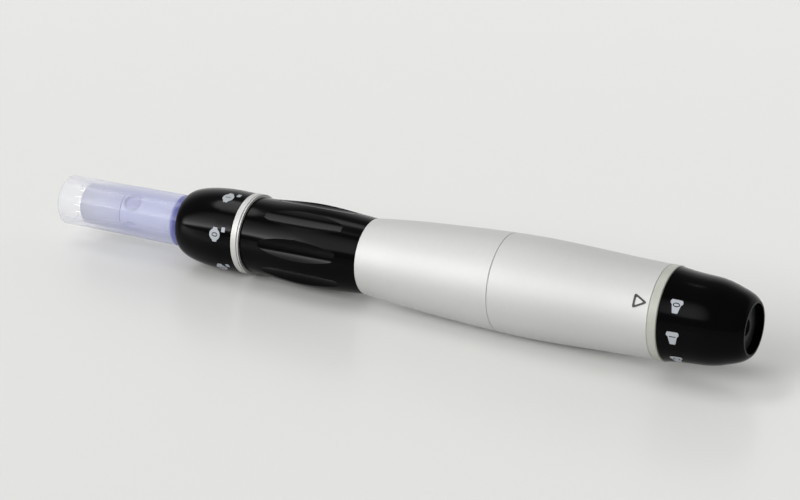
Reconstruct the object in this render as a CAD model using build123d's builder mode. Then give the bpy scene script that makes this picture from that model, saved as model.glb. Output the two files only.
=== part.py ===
"""A microneedling pen: a plug-in needle cartridge, a needle depth dial at the nose, a fluted grip,
a two-part barrel that holds the motor and its board, and a speed dial round the power socket.

Millimetres. The pen lies along +X, its needles at the front: x = 0 is the rim of the cartridge,
on the pen's axis, and +Z is up. Angles are counted about the axis, from the front (-Y) up.
"""

from build123d import *
from math import atan, cos, degrees, pi, radians, sin, sqrt, tan
import os

os.makedirs("parts", exist_ok=True)

# Fits: radial between round pieces, or face to face along the pen
push_fit = 0.05
turning_fit = 0.1
sliding_fit = 0.15
shaft_fit = 0.03
seat_fit = 0.02
end_gap = 0.1
free_gap = 0.3
overrun = 1.0

# Needle cartridge
tip_diameter = 11.5
tip_straight_length = 14.0
shell_diameter = 11.9
shell_wall = 0.9
tip_reach = 33.2
rim_rounding = 0.25
needle_stroke = 2.5
needle_diameter = 0.3
needle_point_angle = 9.0
needle_point_share = 0.95
needle_exposed_length = 3.3
needle_seat_depth = 1.4
inner_needle_count = 3
outer_needle_count = 9
inner_needle_circle = 1.2
outer_needle_circle = 2.9
carrier_head_thickness = 2.2
carrier_length = 10.8
carrier_wall = 0.9
stem_diameter = 2.5
stem_button_diameter = 4.6
stem_button_thickness = 2.0
base_wall = 0.9
base_sleeve_length = 14.2
base_tube_diameter = 7.2
base_tube_wall = 1.0
base_web_thickness = 2.5
window_diameter = 4.0
window_inset = 2.6
window_count = 4
window_angle = 50.0
carrier_spring_length = 9.5
carrier_spring_wire = 0.5
carrier_spring_turns = 7
o_ring_thickness = 0.6
o_ring_stand = 0.02

# Depth dial, its cam sleeve and the socket that carries the cartridge's shell
nose_hole_clearance = 0.2
nose_lip_length = 2.6
nose_dome_length = 12.0
nose_dome_rise = 2.9
nose_edge_rounding = 0.15
dial_wall = 1.25
dial_back_drop = 0.13
socket_depth = 10.9
socket_wall = 1.0
socket_web_thickness = 1.5
socket_skirt_length = 7.4
socket_key_height = 0.5
socket_key_width = 1.7
socket_key_length = 6.0
socket_key_angle = -90.0
cam_pin_diameter = 1.5
cam_pin_inset = 5.1
cam_pin_inner_play = 0.15
cam_pin_angle = 90.0
cam_slot_play = 0.1
cam_slot_spare_angle = 8.0
cam_slot_spans = 20
slot_overlap_share = 1.1
cam_margin = 2.4
depth_travel = 2.5
depth_dial_turn = 300.0
depth_stops = 6
dial_rear_lip = 1.5
o_ring_inset = 2.6

# Click clips, one in each dial
clip_thickness = 0.7
clip_groove_depth = 0.4
clip_reach = 0.45
clip_nub_height = 0.1
clip_nub_diameter = 1.2
clip_play = 0.05
clip_side_room = 0.3
clip_inset = 0.8
clip_opening = 1.6
clip_nub_angle = 90.0
notch_depth = 0.25
notch_diameter = 1.6

# Chassis tube, index ring and grip
tube_wall = 0.8
tube_to_mount = 5.5
index_ring_width = 1.9
index_ring_stand = 0.08
index_band_width = 1.35
index_groove_width = 0.25
index_groove_depth = 0.25
grip_length = 29.35
grip_front_wall = 0.68
grip_back_wall = 0.58
grip_swell = 0.8
grip_profile_shares = [(0, 0), (0.17, 0.28), (0.45, 1)]
grip_rear_shares = [(0.77, 0.42), (1, 1)]
flute_count = 8
flute_angle = 10.0
flute_length = 19.6
flute_middle_share = 0.5
flute_depth = 0.84
flute_end_drop = 0.2
flute_cutter_radius = 5.2

# Barrel in two halves, with the coupler between them and the spacer ring behind
barrel_lip = 0.58
barrel_wall = 1.3
rear_barrel_length = 36.5
rear_barrel_wall = 1.05
barrel_front_shares = [(0, 0), (0.155, 0.425), (0.302, 0.70), (0.42, 0.88), (0.567, 1)]
barrel_rear_shares = [(0.75, 0.36), (0.911, 0.86), (1, 1)]
coupler_wall = 0.86
coupler_grip = 5.7
seam_from_can_back = 3.65
spacer_width = 2.0
spacer_wall = 1.1
edge_bevel = 0.15

# Drive: rod, its guide, the follower and the swash cam
rod_diameter = 3.0
rod_head_diameter = 4.4
rod_head_length = 2.2
rod_head_inset = 1.0
cartridge_plug_length = 4.0
guide_bore_length = 10.5
guide_pocket_depth = 6.0
guide_pocket_diameter = 6.8
guide_pin_diameter = 1.8
guide_pin_circle = 4.9
guide_pin_length = 7.5
set_screw_diameter = 1.6
set_screw_length = 2.3
set_screw_inset = 9.4
set_screw_angle = 45.0
set_screw_sink = 0.05
return_spring_wire = 0.6
return_spring_turns = 6
coil_samples = 24
follower_diameter = 12.4
follower_thickness = 1.6
follower_ball_diameter = 2.2
follower_ball_circle = 3.2
follower_ball_stand = 0.4
follower_ball_angle = 90.0
cam_diameter = 8.8
cam_hub_length = 5.0
cam_screw_diameter = 1.5
cam_screw_inset = 1.6
cam_screw_sink = 0.1

# Motor, its mount and its rubber rings
motor_diameter = 15.5
can_length = 23.0
can_wall = 0.6
can_front_wall = 0.8
end_cap_thickness = 2.5
end_cap_spigot = 1.5
end_cap_spigot_wall = 1.5
end_cap_step = 0.1
motor_shaft_diameter = 2.0
front_bush_diameter = 6.0
rear_bush_diameter = 4.4
bush_length = 2.8
armature_diameter = 10.4
armature_length = 11.0
armature_inset = 4.5
armature_slots = 3
armature_slot_width = 1.8
slot_floor_radius = 2.4
air_gap = 0.35
magnet_length = 13.0
magnet_sweep = 140.0
winding_end_length = 2.2
winding_inset = 0.5
commutator_diameter = 4.4
commutator_length = 3.4
brush_size = 1.6
brush_length = 2.4
brush_arm_thickness = 0.8
terminal_length = 3.5
terminal_width = 2.0
terminal_thickness = 0.5
terminal_spacing = 8.0
mount_thickness = 1.6
mount_screw_circle = 4.8
screw_head_height = 1.1
screw_head_diameter = 3.0
mount_screw_diameter = 1.6
mount_screw_reach = 1.4
damper_thickness = 1.0
damper_width = 3.0
damper_inset = 4.0

# Control board
board_clearance = 1.2
board_width = 16.0
board_thickness = 1.0
chip_height = 1.2
chip_shares = [(0.28, 0.0, 0.24, 0.34), (0.62, -0.26, 0.16, 0.22), (0.62, 0.26, 0.1, 0.14)]
resistor_count = 5
resistor_length = 1.6
resistor_width = 0.8
resistor_height = 0.5
resistor_row_share = 0.47
resistor_pitch = 1.4
capacitor_diameter = 5.0
capacitor_length = 7.0
capacitor_middle_share = 0.74

# Tail: chassis, speed track, jack and speed dial
tail_diameter = 18.2
tail_flange_length = 6.8
tail_end_wall = 1.4
tail_rim_wall = 0.5
tail_rim_gap = 0.2
track_inset = 1.0
track_thickness = 0.8
board_slot_depth = 1.5
jack_diameter = 9.2
jack_length = 12.0
jack_neck_diameter = 6.0
jack_bore_diameter = 3.6
jack_bore_depth = 13.5
jack_nut_diameter = 10.4
jack_nut_thickness = 1.4
jack_lug_length = 3.2
jack_lug_width = 1.6
jack_lug_thickness = 0.4
jack_lug_spacing = 4.4
lead_diameter = 1.0
lead_spacing = 14.4
lead_reach = 4.0
lead_rise_length = 1.6
lead_bend_radius = 1.6
tail_tube_wall = 1.75
cap_length = 17.6
cap_edge_drop = 0.13
cap_end_wall = 0.46
cap_profile_shares = [
    (0, 1),
    (0.12, 0.93),
    (0.25, 0.88),
    (0.40, 0.845),
    (0.52, 0.805),
    (0.65, 0.70),
    (0.78, 0.53),
    (0.89, 0.36),
    (0.96, 0.18),
    (1, 0),
]
cap_recess_depth = 1.7
cap_mouth_clearance = 0.2
cap_hub_wall = 0.9
cap_pocket_width = 0.9
cap_pocket_depth = 6.5
cap_hub_lead = 0.9
cap_hub_flange = 0.6
cap_clip_inset = 8.0
speed_stops = 6
speed_step_angle = 40.0
wiper_thickness = 0.25
wiper_width = 0.9
wiper_run = 3.0
wiper_foot = 0.6
wiper_count = 3
wiper_start_angle = 30.0

# Radii, worked outwards from the cartridge through the nose, and from the motor to the barrel
tip_radius = tip_diameter / 2
shell_radius = shell_diameter / 2
shell_inner_radius = tip_radius - shell_wall
carrier_radius = shell_inner_radius - sliding_fit
base_sleeve_radius = shell_inner_radius - sliding_fit
base_tube_radius = base_tube_diameter / 2
base_tube_inner = base_tube_radius - base_tube_wall
shell_neck_inner = base_tube_radius + sliding_fit
stem_radius = stem_diameter / 2
button_radius = stem_button_diameter / 2
socket_inner = shell_radius + push_fit
socket_radius = socket_inner + socket_wall
socket_web_inner = base_tube_radius + free_gap
tube_inner = socket_radius + turning_fit
tube_radius = tube_inner + tube_wall
cam_sleeve_inner = tube_inner
dial_bore = tube_radius + turning_fit
cam_sleeve_radius = dial_bore - seat_fit
dial_radius = dial_bore + dial_wall
dial_back_radius = dial_radius - dial_back_drop
nose_hole_radius = shell_radius + nose_hole_clearance
index_ring_radius = dial_back_radius + index_ring_stand
key_radius = socket_radius + socket_key_height
grip_front_radius = tube_radius + grip_front_wall
grip_back_radius = tube_radius + grip_back_wall
grip_radius = grip_front_radius + grip_swell
motor_radius = motor_diameter / 2
motor_bore = motor_radius + damper_thickness + 2 * seat_fit
coupler_radius = motor_bore + coupler_wall
coupler_bore = coupler_radius + push_fit
barrel_front_radius = tube_radius + push_fit + barrel_lip
barrel_radius = coupler_bore + barrel_wall
tail_radius = tail_diameter / 2
barrel_back_radius = tail_radius + push_fit + rear_barrel_wall
spacer_radius = tail_radius + seat_fit + spacer_wall
rod_radius = rod_diameter / 2
shaft_radius = motor_shaft_diameter / 2
cam_radius = cam_diameter / 2
jack_radius = jack_diameter / 2
tail_bore = jack_radius + push_fit
tail_tube_radius = tail_bore + tail_tube_wall
cap_hub_bore = tail_tube_radius + turning_fit
nut_radius = jack_nut_diameter / 2
cap_mouth_radius = nut_radius + cap_mouth_clearance
cap_back_radius = cap_mouth_radius + cap_end_wall
cap_front_radius = barrel_back_radius - cap_edge_drop
neck_radius = jack_neck_diameter / 2
needle_radius = needle_diameter / 2
needle_point_length = needle_point_share * needle_radius / tan(radians(needle_point_angle))

# Places along the pen, from the cartridge's rim back
needle_tip_x = needle_stroke
carrier_front = needle_tip_x + needle_exposed_length
carrier_back = carrier_front + carrier_length
base_front = carrier_back + free_gap
base_sleeve_back = base_front + base_sleeve_length
dial_front = tip_reach
socket_front = dial_front + nose_lip_length + end_gap
cam_pin_x = socket_front + cam_pin_inset
cam_front = cam_pin_x - cam_margin
cam_back = cam_pin_x + depth_travel + cam_margin
tube_front = cam_back + free_gap
clip_front = tube_front + clip_inset
dial_back = clip_front + clip_thickness + clip_side_room + dial_rear_lip
ring_front = dial_back + end_gap
ring_back = ring_front + index_ring_width
grip_back = ring_back + grip_length
shell_back = socket_front + socket_depth
socket_web_front = shell_back + end_gap
socket_back = socket_web_front + socket_web_thickness + socket_skirt_length
guide_front = socket_back + depth_travel + free_gap
base_back = guide_front + cartridge_plug_length
guide_bore_front = base_back + free_gap
guide_pocket_front = guide_bore_front + guide_bore_length
guide_back = guide_pocket_front + guide_pocket_depth
rod_front = guide_front + rod_head_inset
stem_back = rod_front - free_gap
button_front = stem_back - stem_button_thickness
base_web_back = button_front - carrier_spring_length
follower_front = guide_back + needle_stroke + free_gap
follower_back = follower_front + follower_thickness
ball_x = follower_back + follower_ball_stand
cam_slope = needle_stroke / (2 * follower_ball_circle)
cam_tilt = atan(cam_slope)
ball_radius = follower_ball_diameter / 2
cam_face_x = ball_x + (ball_radius + free_gap) / cos(cam_tilt) + needle_stroke / 2
cam_end = cam_face_x + cam_hub_length
shaft_front = cam_face_x + shaft_radius * cam_slope + end_gap
mount_front = cam_end + free_gap + screw_head_height
can_front = mount_front + mount_thickness
can_back = can_front + can_length
end_cap_back = can_back + end_cap_thickness
tube_back = mount_front - tube_to_mount
seam = can_back - seam_from_can_back
coupler_front = seam - coupler_grip
coupler_back = seam + coupler_grip
barrel_back = seam + rear_barrel_length
spacer_back = barrel_back + spacer_width
tail_front = barrel_back - tail_flange_length
track_front = barrel_back - track_inset
track_back = track_front + track_thickness
rim_back = spacer_back - tail_rim_gap
cap_front = spacer_back + end_gap
rear_end = cap_front + cap_length
nut_back = rear_end - cap_recess_depth
tail_back = nut_back - jack_nut_thickness
jack_back = tail_back - tail_end_wall
jack_front = jack_back - jack_length
cap_clip_front = cap_front + cap_clip_inset
cap_hub_front = cap_front - cap_hub_lead
board_front = end_cap_back + board_clearance
board_back = tail_front + board_slot_depth


def outward(angle):
    """Unit direction away from the pen's axis at an angle counted from the front up."""
    return Vector(0, -cos(radians(angle)), sin(radians(angle)))


def facing(angle, radius, x):
    """Plane square to the radius at a place on the pen, its own x along the pen."""
    out = outward(angle)
    return Plane(origin=Vector(x, 0, 0) + out * radius, x_dir=(1, 0, 0), z_dir=out)


def across(x):
    """Plane across the pen, its own x along +Y and its own y along +Z."""
    return Plane.YZ.offset(x)


def turned_angle(angle):
    """An angle counted from the front up, as the plane across the pen counts it."""
    return 180 - angle


def turn(points, mode=Mode.ADD):
    """Turn a closed outline of (x, radius) points about the pen's axis."""
    with BuildSketch(Plane.XZ) as outline:
        with BuildLine():
            Polyline(*points, close=True)
        make_face()
    revolve(outline.sketch, axis=Axis.X, mode=mode)


def ring(x_from, x_to, inner, outer, mode=Mode.ADD):
    """A plain ring or disc about the pen's axis."""
    turn([(x_from, inner), (x_to, inner), (x_to, outer), (x_from, outer)], mode)


def round_bars(x_from, x_to, circle, radius, angles, mode=Mode.ADD):
    """Round bars along the pen, or the holes for them, at angles on a circle about its axis."""
    with BuildSketch(across(x_from)) as ends:
        for angle in angles:
            with PolarLocations(circle, 1, start_angle=turned_angle(angle)):
                Circle(radius)
    extrude(ends.sketch, amount=x_to - x_from, mode=mode)


def radial_bar(x, angle, inner, outer, radius, mode=Mode.ADD):
    """A round bar that points away from the axis, or the hole for it."""
    with BuildSketch(facing(angle, inner, x)) as end:
        Circle(radius)
    extrude(end.sketch, amount=outer - inner, mode=mode)


def box_between(low, high, mode=Mode.ADD):
    """A box from its low corner to its high corner."""
    with BuildSketch(Plane.XY.offset(low[2])) as floor:
        with Locations(((low[0] + high[0]) / 2, (low[1] + high[1]) / 2)):
            Rectangle(high[0] - low[0], high[1] - low[1])
    extrude(floor.sketch, amount=high[2] - low[2], mode=mode)


def along(shares, x_from, x_to, r_from, r_to):
    """Points of an outline from shares of a length and of a change of radius."""
    return [
        (x_from + (x_to - x_from) * x_share, r_from + (r_to - r_from) * r_share)
        for x_share, r_share in shares
    ]


def coil(x_from, x_to, radius, wire, turns):
    """A wound spring about the pen's axis, swept along two tangent arcs to each half turn."""
    start, end = x_from + wire / 2, x_to - wire / 2
    half_turns = 2 * turns
    rise = (end - start) / half_turns
    length = sqrt(rise**2 + (pi * radius) ** 2)

    def place(step):
        angle = 180 * step
        point = Vector(start + rise * step, 0, 0) + outward(angle) * radius
        heading = Vector(rise / length, 0, 0) + outward(angle + 90) * (pi * radius / length)
        return point, heading

    with BuildLine() as path:
        for step in range(half_turns):
            (p0, t0), (p1, t1) = place(step), place(step + 1)
            chord, both = p1 - p0, t0 + t1
            spare = 4 - both.dot(both)
            reach = chord.dot(both)
            arm = (sqrt(reach**2 + spare * chord.dot(chord)) - reach) / spare
            join = (p0 + p1 + (t0 - t1) * arm) * 0.5
            first = TangentArc(p0, join, tangent=t0)
            TangentArc(join, p1, tangent=first % 1)
    point, heading = place(0)
    line = path.wires()[0]
    with BuildSketch(Plane(origin=point, z_dir=heading)) as end_face:
        Circle(wire / 2)
    sweep(end_face.sketch, path=line)

    count = coil_samples * turns
    points = [line @ (step / count) for step in range(count + 1)]
    apart = [
        (far - near).length
        for step, near in enumerate(points)
        for far in points[step + coil_samples // 2 :]
    ]
    print("least gap of the coil to itself:", round(min(apart) - wire, 2), "mm")


def o_ring(x, inner):
    """A rubber ring about the pen's axis, by its inner radius."""
    with BuildSketch(Plane.XZ) as section:
        with Locations((x, inner + o_ring_thickness / 2)):
            Circle(o_ring_thickness / 2)
    revolve(section.sketch, axis=Axis.X)


def click_clip(x, tube, angle):
    """A sprung ring in its tube's groove, with an opening at the bottom and one nub."""
    outer = tube + clip_reach
    inner = tube - clip_groove_depth + seat_fit
    ring(x, x + clip_thickness, inner, outer)
    nub_circle = outer + clip_nub_height - clip_nub_diameter / 2
    round_bars(x, x + clip_thickness, nub_circle, clip_nub_diameter / 2, [angle])
    ring(x - overrun, x + clip_thickness + overrun, 0, inner, Mode.SUBTRACT)
    box_between(
        (x - overrun, -clip_opening / 2, -outer - overrun),
        (x + clip_thickness + overrun, clip_opening / 2, 0),
        Mode.SUBTRACT,
    )


def clip_groove(x, tube, angles):
    """The groove and notches inside a dial, round its click clip."""
    low, high = x - clip_side_room, x + clip_thickness + clip_side_room
    floor = tube + clip_reach + clip_nub_height + clip_play
    ring(low, high, tube, floor, Mode.SUBTRACT)
    notch_circle = floor + notch_depth - notch_diameter / 2
    round_bars(low, high, notch_circle, notch_diameter / 2, angles, Mode.SUBTRACT)


def finish(piece, name):
    """Label a finished piece and write its file."""
    piece.part.label = name
    export_step(piece.part, f"parts/{name}.step")


# Clear shell of the cartridge: its rim sets the depth of the needles
with BuildPart() as tip_shell:
    turn(
        [
            (0, shell_inner_radius),
            (base_sleeve_back + free_gap, shell_inner_radius),
            (base_sleeve_back + free_gap, shell_neck_inner),
            (shell_back, shell_neck_inner),
            (shell_back, shell_radius),
            (dial_front - nose_hole_clearance, shell_radius),
            (tip_straight_length, tip_radius),
            (0, tip_radius),
        ]
    )
    rim = tip_shell.edges().filter_by(GeomType.CIRCLE).group_by(Axis.X)[0]
    fillet(rim, rim_rounding)
finish(tip_shell, "tip_shell")

# Base of the cartridge: windowed sleeve in front, plug tube behind, spring seat between
o_ring_x = guide_front + cartridge_plug_length / 2
base_ring_inner = base_tube_radius + o_ring_stand - o_ring_thickness
with BuildPart() as cartridge_base:
    base_sleeve_inner = base_sleeve_radius - base_wall
    turn(
        [
            (base_front, base_sleeve_inner),
            (base_sleeve_back - base_wall, base_sleeve_inner),
            (base_sleeve_back - base_wall, base_tube_inner),
            (base_back, base_tube_inner),
            (base_back, base_tube_radius),
            (base_sleeve_back, base_tube_radius),
            (base_sleeve_back, base_sleeve_radius),
            (base_front, base_sleeve_radius),
        ]
    )
    ring(
        base_web_back - base_web_thickness,
        base_web_back,
        stem_radius + shaft_fit,
        base_tube_inner,
    )
    ring(
        o_ring_x - o_ring_thickness / 2 - seat_fit,
        o_ring_x + o_ring_thickness / 2 + seat_fit,
        base_ring_inner - seat_fit,
        base_tube_radius + overrun,
        Mode.SUBTRACT,
    )
    for number in range(window_count):
        radial_bar(
            base_front + window_inset,
            window_angle + 360 * number / window_count,
            base_sleeve_inner / 2,
            base_sleeve_radius + overrun,
            window_diameter / 2,
            Mode.SUBTRACT,
        )
finish(cartridge_base, "cartridge_base")

with BuildPart() as cartridge_o_ring:
    o_ring(o_ring_x, base_ring_inner)
finish(cartridge_o_ring, "cartridge_o_ring")

# Needle carrier: a piston head, a hollow skirt, and a stem with its button
needle_circles = [
    (inner_needle_circle, inner_needle_count),
    (outer_needle_circle, outer_needle_count),
]
with BuildPart() as needle_carrier:
    turn(
        [
            (carrier_front, 0),
            (stem_back, 0),
            (stem_back, button_radius),
            (button_front, button_radius),
            (button_front, stem_radius),
            (carrier_front + carrier_head_thickness, stem_radius),
            (carrier_front + carrier_head_thickness, carrier_radius - carrier_wall),
            (carrier_back, carrier_radius - carrier_wall),
            (carrier_back, carrier_radius),
            (carrier_front, carrier_radius),
        ]
    )
    for circle, count in needle_circles:
        angles = [360 * number / count for number in range(count)]
        hole = needle_diameter / 2 + seat_fit
        seat_end = carrier_front + needle_seat_depth
        round_bars(carrier_front, seat_end, circle, hole, angles, Mode.SUBTRACT)
finish(needle_carrier, "needle_carrier")


# Needles, each a bar with a ground point
needle_base_x = needle_tip_x + needle_point_length
with BuildPart() as needles:
    for circle, count in needle_circles:
        for number in range(count):
            middle = Vector(needle_base_x, 0, 0) + outward(360 * number / count) * circle
            with BuildSketch(Plane(origin=middle, x_dir=(0, 1, 0), z_dir=(1, 0, 0))) as bar:
                Circle(needle_radius)
            extrude(bar.sketch, amount=carrier_front + needle_seat_depth - needle_base_x)
            extrude(bar.sketch, amount=-needle_point_length, taper=needle_point_angle)
finish(needles, "needles")

with BuildPart() as carrier_spring:
    spring_radius = (stem_radius + base_tube_inner) / 2
    coil(base_web_back, button_front, spring_radius, carrier_spring_wire, carrier_spring_turns)
finish(carrier_spring, "carrier_spring")

# Depth dial: a quarter of an ellipse for its dome, bored for the socket and the cam sleeve
nose_dome_x = dial_front + nose_dome_length
nose_lip_back = dial_front + nose_lip_length
with BuildPart() as depth_dial:
    with BuildSketch(Plane.XZ):
        with BuildLine():
            EllipticalCenterArc(
                (nose_dome_x, dial_radius - nose_dome_rise),
                nose_dome_length,
                nose_dome_rise,
                start_angle=90,
                arc_size=90,
            )
            Polyline(
                (dial_front, dial_radius - nose_dome_rise),
                (dial_front, 0),
                (dial_back, 0),
                (dial_back, dial_back_radius),
                (nose_dome_x, dial_radius),
            )
        make_face()
    revolve(axis=Axis.X)
    ring(dial_front - overrun, nose_lip_back + overrun, 0, nose_hole_radius, Mode.SUBTRACT)
    ring(nose_lip_back, cam_front, 0, socket_radius + free_gap, Mode.SUBTRACT)
    ring(cam_front, dial_back + overrun, 0, dial_bore, Mode.SUBTRACT)
    stops = [clip_nub_angle + 360 * stop / depth_stops for stop in range(depth_stops)]
    clip_groove(clip_front, tube_radius, stops)
    front_edges = depth_dial.edges().filter_by(GeomType.CIRCLE).group_by(Axis.X)[0]
    fillet(front_edges.sort_by(SortBy.RADIUS)[0], nose_edge_rounding)
    back_edges = depth_dial.edges().filter_by(GeomType.CIRCLE).group_by(Axis.X)[-1]
    chamfer(back_edges.sort_by(SortBy.RADIUS)[-1], edge_bevel)
finish(depth_dial, "depth_dial")

# Cam sleeve in the dial: its slot climbs by the depth travel over the dial's turn
cam_pin_radius = cam_pin_diameter / 2
cam_lead = depth_travel * 360 / depth_dial_turn
slot_width = cam_pin_diameter + 2 * cam_slot_play
with BuildPart() as cam_sleeve:
    ring(cam_front, cam_back, cam_sleeve_inner, cam_sleeve_radius)
    span = (depth_dial_turn + 2 * cam_slot_spare_angle) / cam_slot_spans
    cut_radius = cam_sleeve_radius + overrun
    for number in range(cam_slot_spans):
        angle = span * (number + 0.5) - cam_slot_spare_angle
        place = facing(cam_pin_angle + angle, cam_sleeve_inner / 2, cam_pin_x + cam_lead * angle / 360)
        slope = degrees(atan(cam_lead / (2 * pi * cam_sleeve_radius)))
        with BuildSketch(place) as span_cut:
            Rectangle(
                slot_width,
                2 * cam_sleeve_radius * tan(radians(span / 2)) * slot_overlap_share,
                rotation=-slope,
            )
        extrude(span_cut.sketch, amount=cut_radius - cam_sleeve_inner / 2, mode=Mode.SUBTRACT)
finish(cam_sleeve, "cam_sleeve")

# Socket that slides along the pen with the cartridge's shell in it
socket_ring_x = socket_front + o_ring_inset
with BuildPart() as cartridge_socket:
    turn(
        [
            (socket_front, socket_inner),
            (socket_web_front, socket_inner),
            (socket_web_front, socket_web_inner),
            (socket_web_front + socket_web_thickness, socket_web_inner),
            (socket_web_front + socket_web_thickness, socket_inner),
            (socket_back, socket_inner),
            (socket_back, socket_radius),
            (socket_front, socket_radius),
        ]
    )
    with BuildSketch(facing(socket_key_angle, socket_inner, socket_back - socket_key_length / 2)) as key:
        Rectangle(socket_key_length, socket_key_width)
    extrude(key.sketch, amount=key_radius - socket_inner)
    ring(
        socket_web_front + socket_web_thickness,
        socket_back,
        0,
        socket_inner,
        Mode.SUBTRACT,
    )
    ring(
        socket_ring_x - o_ring_thickness / 2 - seat_fit,
        socket_ring_x + o_ring_thickness / 2 + seat_fit,
        socket_inner / 2,
        socket_inner + o_ring_thickness + seat_fit,
        Mode.SUBTRACT,
    )
    radial_bar(
        cam_pin_x,
        cam_pin_angle,
        socket_inner / 2,
        socket_radius + overrun,
        cam_pin_radius + seat_fit,
        Mode.SUBTRACT,
    )
finish(cartridge_socket, "cartridge_socket")

with BuildPart() as socket_o_ring:
    o_ring(socket_ring_x, socket_inner)
finish(socket_o_ring, "socket_o_ring")

with BuildPart() as cam_pin:
    radial_bar(
        cam_pin_x,
        cam_pin_angle,
        shell_radius + cam_pin_inner_play,
        tube_radius,
        cam_pin_radius,
    )
finish(cam_pin, "cam_pin")

with BuildPart() as depth_click_clip:
    click_clip(clip_front, tube_radius, clip_nub_angle)
finish(depth_click_clip, "depth_click_clip")

# Index ring behind the dial, with its thin groove
with BuildPart() as index_ring:
    ring(ring_front, ring_back, tube_radius + seat_fit, index_ring_radius)
    ring(
        ring_front + index_band_width,
        ring_front + index_band_width + index_groove_width,
        index_ring_radius - index_groove_depth,
        index_ring_radius + overrun,
        Mode.SUBTRACT,
    )
finish(index_ring, "index_ring")

# Chassis tube: keyway for the socket, groove for the click clip, holes for the set screws
set_screw_radius = set_screw_diameter / 2
set_screw_x = guide_front + set_screw_inset
set_screw_angles = [set_screw_angle, set_screw_angle + 180]
set_screw_outer = tube_radius - set_screw_sink
key_slot_half = socket_key_width / 2 + sliding_fit
with BuildPart() as chassis_tube:
    ring(tube_front, tube_back, tube_inner, tube_radius)
    box_between(
        (tube_front - overrun, -key_slot_half, -key_radius - turning_fit),
        (socket_back + depth_travel + free_gap, key_slot_half, 0),
        Mode.SUBTRACT,
    )
    ring(
        clip_front - seat_fit,
        clip_front + clip_thickness + seat_fit,
        tube_radius - clip_groove_depth,
        tube_radius + overrun,
        Mode.SUBTRACT,
    )
    for angle in set_screw_angles:
        hole = set_screw_radius + seat_fit
        radial_bar(set_screw_x, angle, tube_inner / 2, tube_radius + overrun, hole, Mode.SUBTRACT)
finish(chassis_tube, "chassis_tube")

# Grip: a swelling sleeve with long shallow flutes round it
grip_points = along(grip_profile_shares, ring_back, grip_back, grip_front_radius, grip_radius)
grip_points += along(grip_rear_shares, ring_back, grip_back, grip_radius, grip_back_radius)
flute_x = ring_back + grip_length * flute_middle_share
flute_line = grip_radius - flute_depth + flute_cutter_radius
flute_end = flute_cutter_radius - flute_end_drop
with BuildPart() as flute_cutter:
    with BuildSketch(Plane.XZ) as flute_outline:
        with BuildLine():
            ThreePointArc(
                (flute_x - flute_length / 2, flute_line - flute_end),
                (flute_x, flute_line - flute_cutter_radius),
                (flute_x + flute_length / 2, flute_line - flute_end),
            )
            Polyline(
                (flute_x + flute_length / 2, flute_line - flute_end),
                (flute_x + flute_length / 2, flute_line),
                (flute_x - flute_length / 2, flute_line),
                (flute_x - flute_length / 2, flute_line - flute_end),
            )
        make_face()
    revolve(flute_outline.sketch, axis=Axis((0, 0, flute_line), (1, 0, 0)))

with BuildPart() as grip_sleeve:
    with BuildSketch(Plane.XZ):
        with BuildLine():
            Spline(*grip_points)
            Polyline(
                grip_points[-1],
                (grip_back, tube_radius + seat_fit),
                (ring_back, tube_radius + seat_fit),
                grip_points[0],
            )
        make_face()
    revolve(axis=Axis.X)
    for number in range(flute_count):
        angle = flute_angle + 360 * number / flute_count
        with Locations(Location((0, 0, 0), (90 - angle, 0, 0))):
            add(flute_cutter.part, mode=Mode.SUBTRACT)
finish(grip_sleeve, "grip_sleeve")

# Barrel: one outline, bored in steps and parted at the seam
barrel_points = along(barrel_front_shares, grip_back, barrel_back, barrel_front_radius, barrel_radius)
barrel_points += along(barrel_rear_shares, grip_back, barrel_back, barrel_radius, barrel_back_radius)
with BuildPart() as barrel:
    with BuildSketch(Plane.XZ):
        with BuildLine():
            Spline(*barrel_points)
            Polyline(
                barrel_points[-1],
                (barrel_back, tail_radius + push_fit),
                (tail_front, tail_radius + push_fit),
                (tail_front, motor_bore),
                (coupler_back, motor_bore),
                (coupler_back, coupler_bore),
                (coupler_front, coupler_bore),
                (coupler_front, motor_bore),
                (mount_front, motor_bore),
                (mount_front, tube_radius + push_fit),
                (grip_back, tube_radius + push_fit),
                barrel_points[0],
            )
        make_face()
    revolve(axis=Axis.X)

for name, side in (("front_barrel", Keep.BOTTOM), ("rear_barrel", Keep.TOP)):
    with BuildPart() as half:
        add(barrel.part)
        split(bisect_by=across(seam), keep=side)
        for x in (grip_back, seam, barrel_back):
            ends = half.edges().filter_by_position(Axis.X, x, x)
            if ends:
                chamfer(ends.sort_by(SortBy.LENGTH)[-1], edge_bevel)
    finish(half, name)

with BuildPart() as barrel_coupler:
    ring(coupler_front + end_gap, coupler_back - end_gap, motor_bore, coupler_radius)
finish(barrel_coupler, "barrel_coupler")

with BuildPart() as spacer_ring:
    ring(barrel_back, spacer_back, tail_radius + seat_fit, spacer_radius)
    rims = spacer_ring.edges().filter_by(GeomType.CIRCLE).group_by(SortBy.RADIUS)[-1]
    chamfer(rims, edge_bevel)
finish(spacer_ring, "spacer_ring")

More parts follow.
